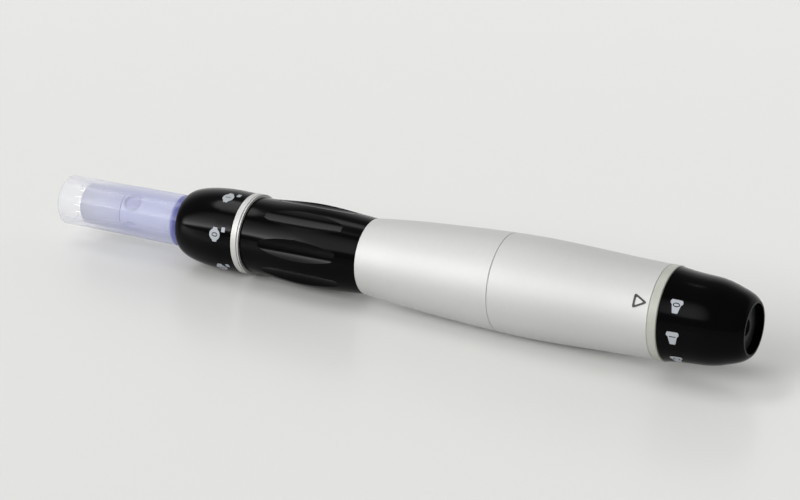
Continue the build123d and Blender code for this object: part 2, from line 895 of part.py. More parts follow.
# Rod guide: holds the cartridge's plug in front, the rod in the middle, spring and pins behind
pin_hole_front = follower_front - guide_pin_length - needle_stroke - free_gap
guide_pin_angles = [0, 180]
with BuildPart() as rod_guide:
    turn(
        [
            (guide_front, base_tube_radius + push_fit),
            (guide_bore_front, base_tube_radius + push_fit),
            (guide_bore_front, rod_radius + shaft_fit),
            (guide_pocket_front, rod_radius + shaft_fit),
            (guide_pocket_front, guide_pocket_diameter / 2),
            (guide_back, guide_pocket_diameter / 2),
            (guide_back, tube_inner - seat_fit),
            (guide_front, tube_inner - seat_fit),
        ]
    )
    pin_hole = guide_pin_diameter / 2 + shaft_fit
    round_bars(
        pin_hole_front,
        guide_back + overrun,
        guide_pin_circle,
        pin_hole,
        guide_pin_angles,
        Mode.SUBTRACT,
    )
    for angle in set_screw_angles:
        radial_bar(
            set_screw_x,
            angle,
            set_screw_outer - set_screw_length - seat_fit,
            tube_radius + overrun,
            set_screw_radius + seat_fit,
            Mode.SUBTRACT,
        )
finish(rod_guide, "rod_guide")

with BuildPart() as guide_screws:
    for angle in set_screw_angles:
        inner = set_screw_outer - set_screw_length
        radial_bar(set_screw_x, angle, inner, set_screw_outer, set_screw_radius)
finish(guide_screws, "guide_screws")

# Drive rod with its head, the follower plate on it, the plate's pins and its ball
with BuildPart() as drive_rod:
    ring(rod_front, rod_front + rod_head_length, 0, rod_head_diameter / 2)
    ring(rod_front + rod_head_length, follower_back, 0, rod_radius)
finish(drive_rod, "drive_rod")

ball_place = Vector(ball_x, 0, 0) + outward(follower_ball_angle) * follower_ball_circle
with BuildPart() as follower_plate:
    ring(follower_front, follower_back, rod_radius + seat_fit, follower_diameter / 2)
    pin_seat = guide_pin_diameter / 2 + seat_fit
    round_bars(follower_front, follower_back, guide_pin_circle, pin_seat, guide_pin_angles, Mode.SUBTRACT)
    with Locations(ball_place):
        Sphere(ball_radius + seat_fit, mode=Mode.SUBTRACT)
finish(follower_plate, "follower_plate")

with BuildPart() as guide_pins:
    pin_front = follower_front - guide_pin_length
    round_bars(pin_front, follower_back, guide_pin_circle, guide_pin_diameter / 2, guide_pin_angles)
finish(guide_pins, "guide_pins")

with BuildPart() as follower_ball:
    with Locations(ball_place):
        Sphere(ball_radius)
finish(follower_ball, "follower_ball")

with BuildPart() as return_spring:
    spring_radius = (rod_radius + guide_pocket_diameter / 2) / 2
    coil(guide_pocket_front, follower_front, spring_radius, return_spring_wire, return_spring_turns)
finish(return_spring, "return_spring")

# Swash cam: a cylinder on the motor's shaft whose front face slopes by the stroke
with BuildPart() as swash_cam:
    cam_high_x = cam_face_x - cam_radius * cam_slope
    ring(cam_high_x - overrun, cam_end, shaft_radius + seat_fit, cam_radius)
    face_normal = (-cos(cam_tilt), 0, sin(cam_tilt))
    split(bisect_by=Plane(origin=(cam_face_x, 0, 0), z_dir=face_normal), keep=Keep.BOTTOM)
    radial_bar(
        cam_end - cam_screw_inset,
        follower_ball_angle,
        shaft_radius,
        cam_radius + overrun,
        cam_screw_diameter / 2 + seat_fit,
        Mode.SUBTRACT,
    )
finish(swash_cam, "swash_cam")

with BuildPart() as cam_screw:
    radial_bar(
        cam_end - cam_screw_inset,
        follower_ball_angle,
        shaft_radius + seat_fit,
        cam_radius - cam_screw_sink,
        cam_screw_diameter / 2,
    )
finish(cam_screw, "cam_screw")

# Motor: can, magnets, bushes, end cap and terminals stay still
can_inner = motor_radius - can_wall
front_bush_radius = front_bush_diameter / 2
rear_bush_radius = rear_bush_diameter / 2
armature_radius = armature_diameter / 2
armature_front = can_front + armature_inset
armature_back = armature_front + armature_length
magnet_front = armature_front - (magnet_length - armature_length) / 2
magnet_inner = armature_radius + air_gap
winding_back = armature_back + winding_end_length
commutator_front = winding_back + end_gap
commutator_back = commutator_front + commutator_length
commutator_radius = commutator_diameter / 2
mount_screw_radius = mount_screw_diameter / 2
mount_screw_angles = [0, 180]
with BuildPart() as motor_can:
    turn(
        [
            (can_front, front_bush_radius + seat_fit),
            (can_front, motor_radius),
            (can_back, motor_radius),
            (can_back, can_inner),
            (can_front + can_front_wall, can_inner),
            (can_front + can_front_wall, front_bush_radius + seat_fit),
        ]
    )
    round_bars(
        can_front - overrun,
        can_front + can_front_wall + overrun,
        mount_screw_circle,
        mount_screw_radius + seat_fit,
        mount_screw_angles,
        Mode.SUBTRACT,
    )
finish(motor_can, "motor_can")

with BuildPart() as motor_magnets:
    ring(magnet_front, magnet_front + magnet_length, magnet_inner, can_inner - seat_fit)
    half_gap = (180 - magnet_sweep) / 2
    gap_width = can_inner * tan(radians(half_gap))
    box_between(
        (magnet_front - overrun, -can_inner, -gap_width),
        (magnet_front + magnet_length + overrun, can_inner, gap_width),
        Mode.SUBTRACT,
    )
finish(motor_magnets, "motor_magnets")

with BuildPart() as motor_bushes:
    ring(mount_front, mount_front + bush_length, shaft_radius + shaft_fit, front_bush_radius)
    ring(end_cap_back - bush_length, end_cap_back, shaft_radius + shaft_fit, rear_bush_radius)
finish(motor_bushes, "motor_bushes")

with BuildPart() as motor_end_cap:
    ring(can_back, end_cap_back, rear_bush_radius + seat_fit, motor_radius - end_cap_step)
    spigot = can_inner - seat_fit
    ring(can_back - end_cap_spigot, can_back, spigot - end_cap_spigot_wall, spigot)
finish(motor_end_cap, "motor_end_cap")

board_top = board_thickness / 2
terminal_foot = board_top + seat_fit
with BuildPart() as motor_terminals:
    for y in (-terminal_spacing / 2, terminal_spacing / 2):
        box_between(
            (end_cap_back, y - terminal_width / 2, terminal_foot),
            (end_cap_back + terminal_length, y + terminal_width / 2, terminal_foot + terminal_thickness),
        )
finish(motor_terminals, "motor_terminals")

with BuildPart() as motor_brushes:
    for side in (-1, 1):
        brush_inner = commutator_radius + turning_fit
        brush_outer = brush_inner + brush_length
        brush_x = commutator_front + commutator_length / 2
        low_y, high_y = sorted((side * brush_inner, side * brush_outer))
        box_between(
            (brush_x - brush_size / 2, low_y, -brush_size / 2),
            (brush_x + brush_size / 2, high_y, brush_size / 2),
        )
        low_y, high_y = sorted((side * (brush_outer - brush_arm_thickness), side * brush_outer))
        box_between(
            (brush_x, low_y, -brush_size / 2),
            (can_back, high_y, brush_size / 2),
        )
finish(motor_brushes, "motor_brushes")

# Motor: shaft, slotted armature, windings and commutator turn
shaft_back = end_cap_back - end_gap
slot_angles = [360 * slot / armature_slots for slot in range(armature_slots)]
with BuildPart() as motor_shaft:
    ring(shaft_front, shaft_back, 0, shaft_radius)
finish(motor_shaft, "motor_shaft")

with BuildPart() as motor_armature:
    ring(armature_front, armature_back, shaft_radius + seat_fit, armature_radius)
    for angle in slot_angles:
        with BuildSketch(facing(angle, slot_floor_radius, armature_front + armature_length / 2)) as slot:
            Rectangle(armature_length + 2 * overrun, armature_slot_width)
        extrude(slot.sketch, amount=armature_radius, mode=Mode.SUBTRACT)
finish(motor_armature, "motor_armature")

with BuildPart() as motor_windings:
    winding_radius = armature_radius - winding_inset
    for start in (armature_front - winding_end_length, armature_back):
        ring(start, start + winding_end_length, shaft_radius + seat_fit, winding_radius)
    for angle in slot_angles:
        fill_floor = slot_floor_radius + seat_fit
        with BuildSketch(facing(angle, fill_floor, armature_front + armature_length / 2)) as fill:
            Rectangle(armature_length, armature_slot_width - 2 * seat_fit)
        extrude(fill.sketch, amount=winding_radius - winding_inset - fill_floor)
finish(motor_windings, "motor_windings")

with BuildPart() as motor_commutator:
    ring(commutator_front, commutator_back, shaft_radius + seat_fit, commutator_radius)
finish(motor_commutator, "motor_commutator")

# Motor mount, its screws and the rubber rings round the motor
with BuildPart() as motor_mount:
    ring(mount_front, can_front, front_bush_radius + push_fit, motor_bore - seat_fit)
    round_bars(
        mount_front - overrun,
        can_front + overrun,
        mount_screw_circle,
        mount_screw_radius + push_fit,
        mount_screw_angles,
        Mode.SUBTRACT,
    )
finish(motor_mount, "motor_mount")

with BuildPart() as motor_screws:
    head_front = mount_front - screw_head_height
    screw_end = can_front + can_front_wall + mount_screw_reach
    round_bars(
        head_front,
        mount_front,
        mount_screw_circle,
        screw_head_diameter / 2,
        mount_screw_angles,
    )
    round_bars(mount_front, screw_end, mount_screw_circle, mount_screw_radius, mount_screw_angles)
finish(motor_screws, "motor_screws")

with BuildPart() as motor_dampers:
    for start in (can_front + damper_inset, seam - damper_width / 2):
        ring(start, start + damper_width, motor_radius + seat_fit, motor_bore - seat_fit)
finish(motor_dampers, "motor_dampers")

# Control board, its slots in the tail, and what is soldered on it
board_length = board_back - board_front
with BuildPart() as control_board:
    box_between(
        (board_front, -board_width / 2, -board_top),
        (board_back, board_width / 2, board_top),
    )
finish(control_board, "control_board")

with BuildPart() as board_parts:
    for x_share, y_share, length_share, width_share in chip_shares:
        x, y = board_front + board_length * x_share, board_width * y_share
        length, width = board_length * length_share, board_width * width_share
        box_between(
            (x - length / 2, y - width / 2, board_top),
            (x + length / 2, y + width / 2, board_top + chip_height),
        )
    for number in range(resistor_count):
        x = board_front + board_length * resistor_row_share
        y = (number - (resistor_count - 1) / 2) * resistor_pitch
        box_between(
            (x - resistor_length / 2, y - resistor_width / 2, board_top),
            (x + resistor_length / 2, y + resistor_width / 2, board_top + resistor_height),
        )
    capacitor_x = board_front + board_length * capacitor_middle_share
    capacitor_radius = capacitor_diameter / 2
    with BuildSketch(across(capacitor_x - capacitor_length / 2)) as capacitor:
        with Locations((0, -board_top - capacitor_radius)):
            Circle(capacitor_radius)
    extrude(capacitor.sketch, amount=capacitor_length)
finish(board_parts, "board_parts")

# Tail chassis: flange in the barrel, rim for the spacer ring, tube for the jack and the dial
rim_inner = tail_radius - tail_rim_wall
lead_radius = lead_diameter / 2
lead_z = board_top + seat_fit + lead_radius
board_slot_half = board_width / 2 + push_fit
with BuildPart() as tail_chassis:
    turn(
        [
            (tail_front, tail_bore),
            (jack_back, tail_bore),
            (jack_back, neck_radius + seat_fit),
            (tail_back, neck_radius + seat_fit),
            (tail_back, tail_tube_radius),
            (track_front, tail_tube_radius),
            (track_front, rim_inner),
            (rim_back, rim_inner),
            (rim_back, tail_radius),
            (tail_front, tail_radius),
        ]
    )
    box_between(
        (tail_front - overrun, -board_slot_half, -board_top - push_fit),
        (board_back + end_gap, board_slot_half, board_top + push_fit),
        Mode.SUBTRACT,
    )
    for y in (-lead_spacing / 2, lead_spacing / 2):
        with BuildSketch(across(tail_front - overrun)) as lead_hole:
            with Locations((y, lead_z)):
                Circle(lead_radius + push_fit)
        extrude(lead_hole.sketch, amount=tail_flange_length + overrun, mode=Mode.SUBTRACT)
    ring(
        cap_clip_front - seat_fit,
        cap_clip_front + clip_thickness + seat_fit,
        tail_tube_radius - clip_groove_depth,
        tail_tube_radius + overrun,
        Mode.SUBTRACT,
    )
finish(tail_chassis, "tail_chassis")

with BuildPart() as speed_track:
    ring(track_front, track_back, cap_hub_bore + free_gap, rim_inner - seat_fit)
finish(speed_track, "speed_track")

# Speed dial: profiled outside, bored for the tail tube, with a moulding pocket round its hub
cap_points = along(cap_profile_shares, cap_front, rear_end, cap_back_radius, cap_front_radius)
cap_hub_radius = cap_hub_bore + cap_hub_wall
cap_pocket_radius = cap_hub_radius + cap_pocket_width
cap_bore_back = tail_back + free_gap
with BuildPart() as speed_dial:
    with BuildSketch(Plane.XZ):
        with BuildLine():
            Spline(*cap_points)
            Polyline(
                cap_points[-1],
                (rear_end, cap_mouth_radius),
                (cap_bore_back, cap_mouth_radius),
                (cap_bore_back, cap_hub_bore),
                (cap_hub_front, cap_hub_bore),
                (cap_hub_front, cap_hub_radius),
                (cap_front + cap_pocket_depth, cap_hub_radius),
                (cap_front + cap_pocket_depth, cap_pocket_radius),
                (cap_front, cap_pocket_radius),
                cap_points[0],
            )
        make_face()
    revolve(axis=Axis.X)
    stops = [clip_nub_angle - speed_step_angle * stop for stop in range(speed_stops)]
    clip_groove(cap_clip_front, tail_tube_radius, stops)
    front_edges = speed_dial.edges().filter_by(GeomType.CIRCLE).filter_by_position(Axis.X, cap_front, cap_front)
    chamfer(front_edges.sort_by(SortBy.RADIUS)[-1], edge_bevel)
finish(speed_dial, "speed_dial")

# Wiper on the dial's hub: a thin ring with sloping fingers over the track
wiper_front = cap_hub_front - wiper_thickness
wiper_inner = cap_hub_bore + seat_fit
wiper_outer = cap_hub_radius + cap_hub_flange
finger_tip = track_back + end_gap
with BuildPart() as speed_wiper:
    ring(wiper_front, cap_hub_front, wiper_inner, wiper_outer)
    for number in range(wiper_count):
        angle = wiper_start_angle + 360 * number / wiper_count
        with BuildSketch(facing(angle, wiper_outer - wiper_width, 0)) as finger:
            with BuildLine():
                Polyline(
                    (wiper_front, 0),
                    (wiper_front, -wiper_foot),
                    (finger_tip + wiper_thickness, -wiper_run),
                    (finger_tip, -wiper_run),
                    (finger_tip, wiper_foot - wiper_run),
                    close=True,
                )
            make_face()
        extrude(finger.sketch, amount=wiper_width / 2)
finish(speed_wiper, "speed_wiper")

with BuildPart() as speed_click_clip:
    click_clip(cap_clip_front, tail_tube_radius, clip_nub_angle)
finish(speed_click_clip, "speed_click_clip")

# Power jack in the tail tube, its nut, its lugs and the wiring to the board
jack_bore_radius = jack_bore_diameter / 2
with BuildPart() as jack_socket:
    ring(jack_front, jack_back, 0, jack_radius)
    ring(jack_back, nut_back, 0, neck_radius)
    ring(nut_back - jack_bore_depth, nut_back + overrun, 0, jack_bore_radius, Mode.SUBTRACT)
finish(jack_socket, "jack_socket")

with BuildPart() as jack_nut:
    ring(tail_back, nut_back, neck_radius + seat_fit, nut_radius)
finish(jack_nut, "jack_nut")

lug_front = jack_front - jack_lug_length
with BuildPart() as jack_contacts:
    for y in (-jack_lug_spacing / 2, jack_lug_spacing / 2):
        box_between(
            (lug_front, y - jack_lug_width / 2, -jack_lug_thickness / 2),
            (jack_front, y + jack_lug_width / 2, jack_lug_thickness / 2),
        )
finish(jack_contacts, "jack_contacts")

with BuildPart() as jack_leads:
    for y in (-jack_lug_spacing / 2, jack_lug_spacing / 2):
        bend_back = board_back + 2 * lead_rise_length
        with BuildLine() as route:
            FilletPolyline(
                (lug_front, y, 0),
                (bend_back - lead_rise_length / 2, y, 0),
                (bend_back - 2 * lead_rise_length, y, lead_z),
                (board_back - lead_reach, y, lead_z),
                radius=lead_bend_radius,
            )
        with BuildSketch(Plane(origin=(lug_front, y, 0), z_dir=(-1, 0, 0))) as wire_end:
            Circle(lead_radius)
        sweep(wire_end.sketch, path=route.wires()[0])
finish(jack_leads, "jack_leads")

with BuildPart() as track_leads:
    for y in (-lead_spacing / 2, lead_spacing / 2):
        with BuildSketch(across(board_back - lead_reach)) as lead_end:
            with Locations((y, lead_z)):
                Circle(lead_radius)
        extrude(lead_end.sketch, amount=track_front - board_back + lead_reach)
finish(track_leads, "track_leads")
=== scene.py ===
"""Looks of a microneedling pen on a pale table, built over its CAD frame."""

from math import cos, pi, radians, sin

import bpy
import bmesh
import numpy as np
from bpy.props import FloatProperty, FloatVectorProperty, IntProperty, PointerProperty
from mathutils import Matrix, Vector


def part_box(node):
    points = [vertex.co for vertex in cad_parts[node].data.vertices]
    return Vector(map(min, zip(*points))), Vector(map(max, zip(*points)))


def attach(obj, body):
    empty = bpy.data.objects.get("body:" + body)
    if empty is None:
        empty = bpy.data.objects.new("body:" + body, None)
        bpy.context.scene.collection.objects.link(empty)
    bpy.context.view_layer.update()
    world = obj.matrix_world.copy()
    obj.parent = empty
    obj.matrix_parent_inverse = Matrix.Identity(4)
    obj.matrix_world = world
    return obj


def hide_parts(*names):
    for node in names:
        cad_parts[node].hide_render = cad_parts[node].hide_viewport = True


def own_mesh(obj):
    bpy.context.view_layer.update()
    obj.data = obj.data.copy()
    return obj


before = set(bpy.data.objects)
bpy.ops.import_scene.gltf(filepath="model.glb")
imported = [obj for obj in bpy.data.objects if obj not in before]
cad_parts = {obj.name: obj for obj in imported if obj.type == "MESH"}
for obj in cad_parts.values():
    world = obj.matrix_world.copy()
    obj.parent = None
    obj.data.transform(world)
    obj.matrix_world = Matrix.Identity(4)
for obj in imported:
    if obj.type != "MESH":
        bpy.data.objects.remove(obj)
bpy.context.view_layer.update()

bl_info = {
    "name": "Microneedling Pen",
    "version": (1, 0, 0),
    "blender": (4, 5, 0),
    "location": "3D View > Sidebar > Pen",
    "description": "Builds the visible pieces of a microneedling pen and its table",
    "category": "Object",
}

mm = 0.001


def low(node):
    """Lowest corner of a CAD node, in metres."""
    return np.array(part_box(node)[0], dtype=float)


def high(node):
    """Highest corner of a CAD node, in metres."""
    return np.array(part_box(node)[1], dtype=float)


def corners(node):
    """All corners of a CAD node's mesh, in metres."""
    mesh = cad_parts[node].data
    points = np.empty(len(mesh.vertices) * 3)
    mesh.vertices.foreach_get("co", points)
    return points.reshape(-1, 3)


# Shader maths


class Wire:
    """A shader socket that adds Math nodes when Python's operators are used on it."""

    def __init__(self, paint, socket):
        self.paint = paint
        self.socket = socket

    def _math(self, operation, *values):
        return self.paint.node("ShaderNodeMath", {"operation": operation}, *values)

    def __add__(self, other):
        return self._math("ADD", self, other)

    def __radd__(self, other):
        return self._math("ADD", other, self)

    def __sub__(self, other):
        return self._math("SUBTRACT", self, other)

    def __rsub__(self, other):
        return self._math("SUBTRACT", other, self)

    def __mul__(self, other):
        return self._math("MULTIPLY", self, other)

    def __rmul__(self, other):
        return self._math("MULTIPLY", other, self)

    def __pow__(self, other):
        return self._math("POWER", self, other)

    def below(self, edge):
        return self._math("LESS_THAN", self, edge)

    def sine(self):
        return self._math("SINE", self)

    def fading(self, length):
        """One at nought, falling to 1/e at a length, and so on."""
        return self._math("EXPONENT", self * (-1 / length))

    def clamped(self):
        return self._math("MINIMUM", self._math("MAXIMUM", self, 0.0), 1.0)


class Nodes:
    """A node tree and the methods that add nodes to it."""

    def __init__(self, tree):
        self.tree = tree

    def _fill(self, socket, value):
        if isinstance(value, Wire):
            self.tree.links.new(value.socket, socket)
        elif isinstance(value, (tuple, list)) and len(value) == 3 and socket.type == "RGBA":
            socket.default_value = (*value, 1.0)
        else:
            socket.default_value = value

    def node(self, kind, settings, *values, output=0, **named):
        """Add a node, set what it is first, then fill its sockets in order or by name."""
        made = self.tree.nodes.new(kind)
        for key, value in settings.items():
            setattr(made, key, value)
        sockets = [socket for socket in made.inputs if socket.enabled]
        for socket, value in zip(sockets, values):
            self._fill(socket, value)
        for key, value in named.items():
            match = [socket for socket in sockets if socket.name == key.replace("_", " ")]
            self._fill(match[0], value)
        results = [socket for socket in made.outputs if socket.enabled]
        return Wire(self, results[output]) if results else None

    def parts(self, vector):
        """The three parts of a vector."""
        return [self.node("ShaderNodeSeparateXYZ", {}, vector, output=part) for part in range(3)]


class Paint(Nodes):
    """One material: its Principled shader and the nodes that feed it."""

    def __init__(self, name, colour, roughness=0.5, metallic=0.0, **settings):
        self.material = bpy.data.materials.new(name)
        self.material.use_nodes = True
        super().__init__(self.material.node_tree)
        self.shader = self.tree.nodes["Principled BSDF"]
        self.colour = self.base = tuple(colour)[:3]
        self.set("Base Color", self.colour)
        self.set("Roughness", roughness)
        self.set("Metallic", metallic)
        for socket, value in settings.items():
            self.set(socket.replace("_", " "), value)

    def set(self, socket, value):
        """Put a value or a wire into one of the shader's sockets."""
        self._fill(self.shader.inputs[socket], value)

    def place(self):
        """Object coordinates."""
        return self.node("ShaderNodeTexCoord", {}, output=3)

    def from_axis(self):
        """Distance from the pen's axis."""
        _, y, z = self.parts(self.place())
        return (y * y + z * z) ** 0.5

    def facing(self):
        """Nought where the surface faces the eye, one where it is seen edge on."""
        return self.node("ShaderNodeLayerWeight", {}, 0.5, output=1)

    def stretched(self, scale):
        """Object coordinates times a scale along each axis."""
        return self.node("ShaderNodeMapping", {}, self.place(), Scale=scale)

    def noise(self, scale, detail=3.0, roughness=0.5, vector=None):
        """Noise from 0 to 1, scale in cells a metre."""
        return self.node(
            "ShaderNodeTexNoise",
            {"noise_dimensions": "3D"},
            Vector=vector or self.place(),
            Scale=scale,
            Detail=detail,
            Roughness=roughness,
        )

    def blend(self, factor, first, second):
        """Mix two colours."""
        return self.node("ShaderNodeMix", {"data_type": "RGBA"}, Factor=factor, A=first, B=second)

    def bump(self, height, distance):
        """Raise the surface by a height from 0 to 1 times a distance in metres."""
        bump = self.node("ShaderNodeBump", {}, Strength=1.0, Distance=distance, Height=height)
        self.set("Normal", bump)

    def mottled(self, scale, amount):
        """Base colour that drifts a little between lighter and darker."""
        drift = self.noise(scale)
        darker, lighter = shade(self.colour, 1 - amount), shade(self.colour, 1 + amount)
        self.base = self.blend(drift, darker, lighter)
        self.set("Base Color", self.base)

    def handled(self, middle, spread, scale):
        """Roughness that drifts about a middle value, as handling leaves it."""
        smudge = self.noise(scale, detail=4.0)
        self.set("Roughness", (smudge - 0.5) * spread + middle)

    def lathe_lines(self, pitch, depth):
        """Fine rings left by turning: noise drawn out round the axis and short along it."""
        drawn_out = 40.0
        scale = (1 / pitch, drawn_out, drawn_out)
        lines = self.noise(1.0, detail=2.0, vector=self.stretched(scale))
        self.bump(lines, depth)

    def grain(self, size, depth):
        """Fine even grain, as on a blasted or moulded surface."""
        self.bump(self.noise(1 / size, detail=2.0), depth)

    def cover(self, *nodes):
        """Put this material on CAD nodes."""
        for name in nodes:
            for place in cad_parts[name].material_slots:
                place.material = self.material


def shade(colour, factor):
    """A colour made lighter or darker."""
    return tuple(min(1.0, part * factor) for part in colour)


# Shapes


def add_piece(name, points, faces, body, paint, slot):
    """Make a mesh object from points in metres, join its seams, turn its faces outwards and let it
    ride on a body."""
    mesh = bpy.data.meshes.new(name)
    mesh.from_pydata(points.tolist(), [], faces)
    work = bmesh.new()
    work.from_mesh(mesh)
    bmesh.ops.remove_doubles(work, verts=work.verts, dist=1e-7)
    bmesh.ops.dissolve_degenerate(work, edges=work.edges, dist=1e-8)
    bmesh.ops.recalc_face_normals(work, faces=work.faces)
    work.to_mesh(mesh)
    work.free()
    mesh.shade_smooth()
    mesh.set_sharp_from_angle(angle=radians(28))
    mesh.materials.append(paint.material)
    piece = bpy.data.objects.new(name, mesh)
    bpy.context.scene.collection.objects.link(piece)
    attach(piece, body)
    return piece


def tube_faces(rows, across):
    """Corner numbers of a closed tube's faces: four for each cell of a grid that closes on itself
    across, then both flat ends."""
    i, j = np.meshgrid(np.arange(rows - 1) * across, np.arange(across), indexing="ij")
    m = (j + 1) % across
    cells = [i + j, i + m, i + across + m, i + across + j]
    faces = np.stack([cell.ravel() for cell in cells], axis=1).tolist()
    last = (rows - 1) * across
    return [*faces, list(range(across)), list(range(last, last + across))]


def wound(node, turns, across=12, round_turn=40):
    """Points and faces of a wound spring that lies where a CAD node does. With t from 0 to 1,
    a = 2 pi turns t and n = (0, -cos a, sin a), the wire's middle is c(t) = (x0 + (x1 - x0) t,
    0, 0) + r n. Its surface is c + w (n cos b + m sin b), with m square to n and to the wire."""
    points = corners(node)
    radius = np.hypot(points[:, 1], points[:, 2])
    wire = (radius.max() - radius.min()) / 2
    middle = (radius.max() + radius.min()) / 2
    x_from, x_to = points[:, 0].min() + wire, points[:, 0].max() - wire
    rows = turns * round_turn + 1
    a = np.linspace(0, 2 * pi * turns, rows)
    outward = np.stack([np.zeros(rows), -np.cos(a), np.sin(a)], axis=1)
    rise = (x_to - x_from) / (2 * pi * turns)
    heading = np.stack([np.full(rows, rise), middle * np.sin(a), middle * np.cos(a)], axis=1)
    beside = np.cross(heading, outward)
    beside /= np.linalg.norm(beside, axis=1, keepdims=True)
    centre = middle * outward + np.stack([x_from + rise * a, 0 * a, 0 * a], axis=1)
    b = np.linspace(0, 2 * pi, across, endpoint=False)[None, :, None]
    surface = centre[:, None] + wire * (np.cos(b) * outward[:, None] + np.sin(b) * beside[:, None])
    return surface.reshape(-1, 3), tube_faces(rows, across)


def skin(node, x_from, x_to):
    """Outside of a CAD node as r(x): a line stretched tight over its outermost corners. Corners
    under the straight line between their neighbours are dropped until none is left."""
    points = corners(node)
    x, radius = points[:, 0], np.hypot(points[:, 1], points[:, 2])
    near = (x > x_from) & (x < x_to)
    places, owner = np.unique(np.round(x[near], 6), return_inverse=True)
    outside = np.zeros(len(places))
    np.maximum.at(outside, owner, radius[near])
    kept = np.zeros(1, dtype=bool)
    while not kept.all():
        share = (places[1:-1] - places[:-2]) / (places[2:] - places[:-2])
        chord = outside[:-2] * (1 - share) + outside[2:] * share
        kept = np.concatenate([[True], outside[1:-1] > chord, [True]])
        places, outside = places[kept], outside[kept]
    return lambda place: np.interp(place, places, outside)


def wrapped(points, node, x, angle, lift):
    """Lay flat points on a CAD node: along the pen for u, round it for v, outwards for w.
    x = x0 + u, theta = theta0 + v / r(x0), radius = r(x) + lift + w."""
    near = 9 * mm
    reach = skin(node, x - near, x + near)
    u, v, w = points.T
    place = x + u
    turn = radians(angle) + v / reach(x)
    radius = reach(place) + lift + w
    return np.stack([place, -radius * np.cos(turn), radius * np.sin(turn)], axis=1)


def sliced(mesh, pitch):
    """Cut a flat mesh into narrow strips across v, so that it bends smoothly."""
    work = bmesh.new()
    work.from_mesh(mesh)
    bmesh.ops.remove_doubles(work, verts=work.verts, dist=1e-8)
    across = [corner.co.y for corner in work.verts]
    for v in np.arange(min(across) + pitch, max(across), pitch):
        parts = [*work.verts, *work.edges, *work.faces]
        bmesh.ops.bisect_plane(work, geom=parts, plane_co=(0, v, 0), plane_no=(0, 1, 0))
    work.to_mesh(mesh)
    work.free()
    points = np.empty(len(mesh.vertices) * 3)
    mesh.vertices.foreach_get("co", points)
    return points.reshape(-1, 3), [list(face.vertices) for face in mesh.polygons]


def flat_mark(outlines, thickness, numeral=None, numeral_height=0.0, numeral_rise=0.0):
    """Printed mark as a thin flat mesh: closed outlines, with a numeral left open in them. The
    numeral is turned a quarter, so that it is read from the pen's tip."""
    numeral_share = 0.69
    words = bpy.data.curves.new("mark", "FONT")
    words.body = numeral or ""
    words.size = numeral_height / numeral_share if numeral else mm
    words.align_x = "CENTER"
    words.offset_y = -numeral_height / 2
    words.resolution_u = 4
    holder = bpy.data.objects.new("mark", words)
    bpy.context.scene.collection.objects.link(holder)
    bpy.ops.object.select_all(action="DESELECT")
    bpy.context.view_layer.objects.active = holder
    holder.select_set(True)
    bpy.ops.object.convert(target="CURVE")
    line = holder.data
    line.transform(Matrix.Translation((0, numeral_rise, 0)) @ Matrix.Rotation(pi / 2, 4, "Z"))
    line.dimensions = "2D"
    line.fill_mode = "BOTH"
    line.extrude = thickness / 2
    for outline in outlines:
        stroke = line.splines.new("POLY")
        stroke.points.add(len(outline) - 1)
        flat = np.zeros((len(outline), 4))
        flat[:, :2] = outline
        stroke.points.foreach_set("co", flat.ravel())
        stroke.use_cyclic_u = True
    bpy.context.view_layer.update()
    shown = holder.evaluated_get(bpy.context.evaluated_depsgraph_get())
    mesh = bpy.data.meshes.new_from_object(shown)
    bpy.data.objects.remove(holder)
    return mesh


def rounded(outline, radius, steps=4):
    """Round every corner P of a closed outline: (1-t)^2 A + 2t(1-t) P + t^2 B, with A and B a
    radius away from P towards its neighbours."""
    outline = np.asarray(outline, dtype=float)
    before = np.roll(outline, 1, axis=0) - outline
    after = np.roll(outline, -1, axis=0) - outline
    reach_before = np.linalg.norm(before, axis=1, keepdims=True)
    reach_after = np.linalg.norm(after, axis=1, keepdims=True)
    start = outline + before / reach_before * np.minimum(radius, 0.45 * reach_before)
    end = outline + after / reach_after * np.minimum(radius, 0.45 * reach_after)
    t = np.linspace(0, 1, steps)[None, :, None]
    curve = (1 - t) ** 2 * start[:, None] + 2 * t * (1 - t) * outline[:, None] + t**2 * end[:, None]
    return curve.reshape(-1, 2)


def shield(width, height):
    """Outline of a mark as wide as it is high, square at its top and narrow at its foot."""
    shares = [
        (-0.5, 0.36), (-0.42, 0.5), (0.42, 0.5), (0.5, 0.36), (0.5, 0.22),
        (0.36, 0.12), (0.22, -0.5), (-0.22, -0.5), (-0.36, 0.12), (-0.5, 0.22),
    ]
    return rounded(np.array(shares) * (width, height), 0.06 * width)


def medallion(width, height):
    """Outline of a round mark with a short tab above and below it."""
    turn = np.radians(np.concatenate([np.linspace(-64, 64, 17), np.linspace(116, 244, 17)]))
    disc = np.stack([np.cos(turn), np.sin(turn)], axis=1) * width / 2
    tab = 0.2 * width
    top = [(tab, height / 2), (-tab, height / 2)]
    outline = np.concatenate([disc[:17], top, disc[17:], [(-tab, -height / 2), (tab, -height / 2)]])
    return rounded(outline, 0.05 * width)


def print_marks(name, marks, node, body, thickness, paint, slot):
    """Wrap flat marks round a CAD node as one piece. Each mark is (mesh, x, angle in degrees)."""
    strip, lift = 0.3 * mm, 0.4 * thickness
    points, faces, count = [], [], 0
    for mesh, x, angle in marks:
        flat, sides = sliced(mesh, strip)
        points.append(wrapped(flat, node, x, angle, lift))
        faces += [[corner + count for corner in side] for side in sides]
        count += len(flat)
    return add_piece(name, np.concatenate(points), faces, body, paint, slot)


# Settings that a user would change


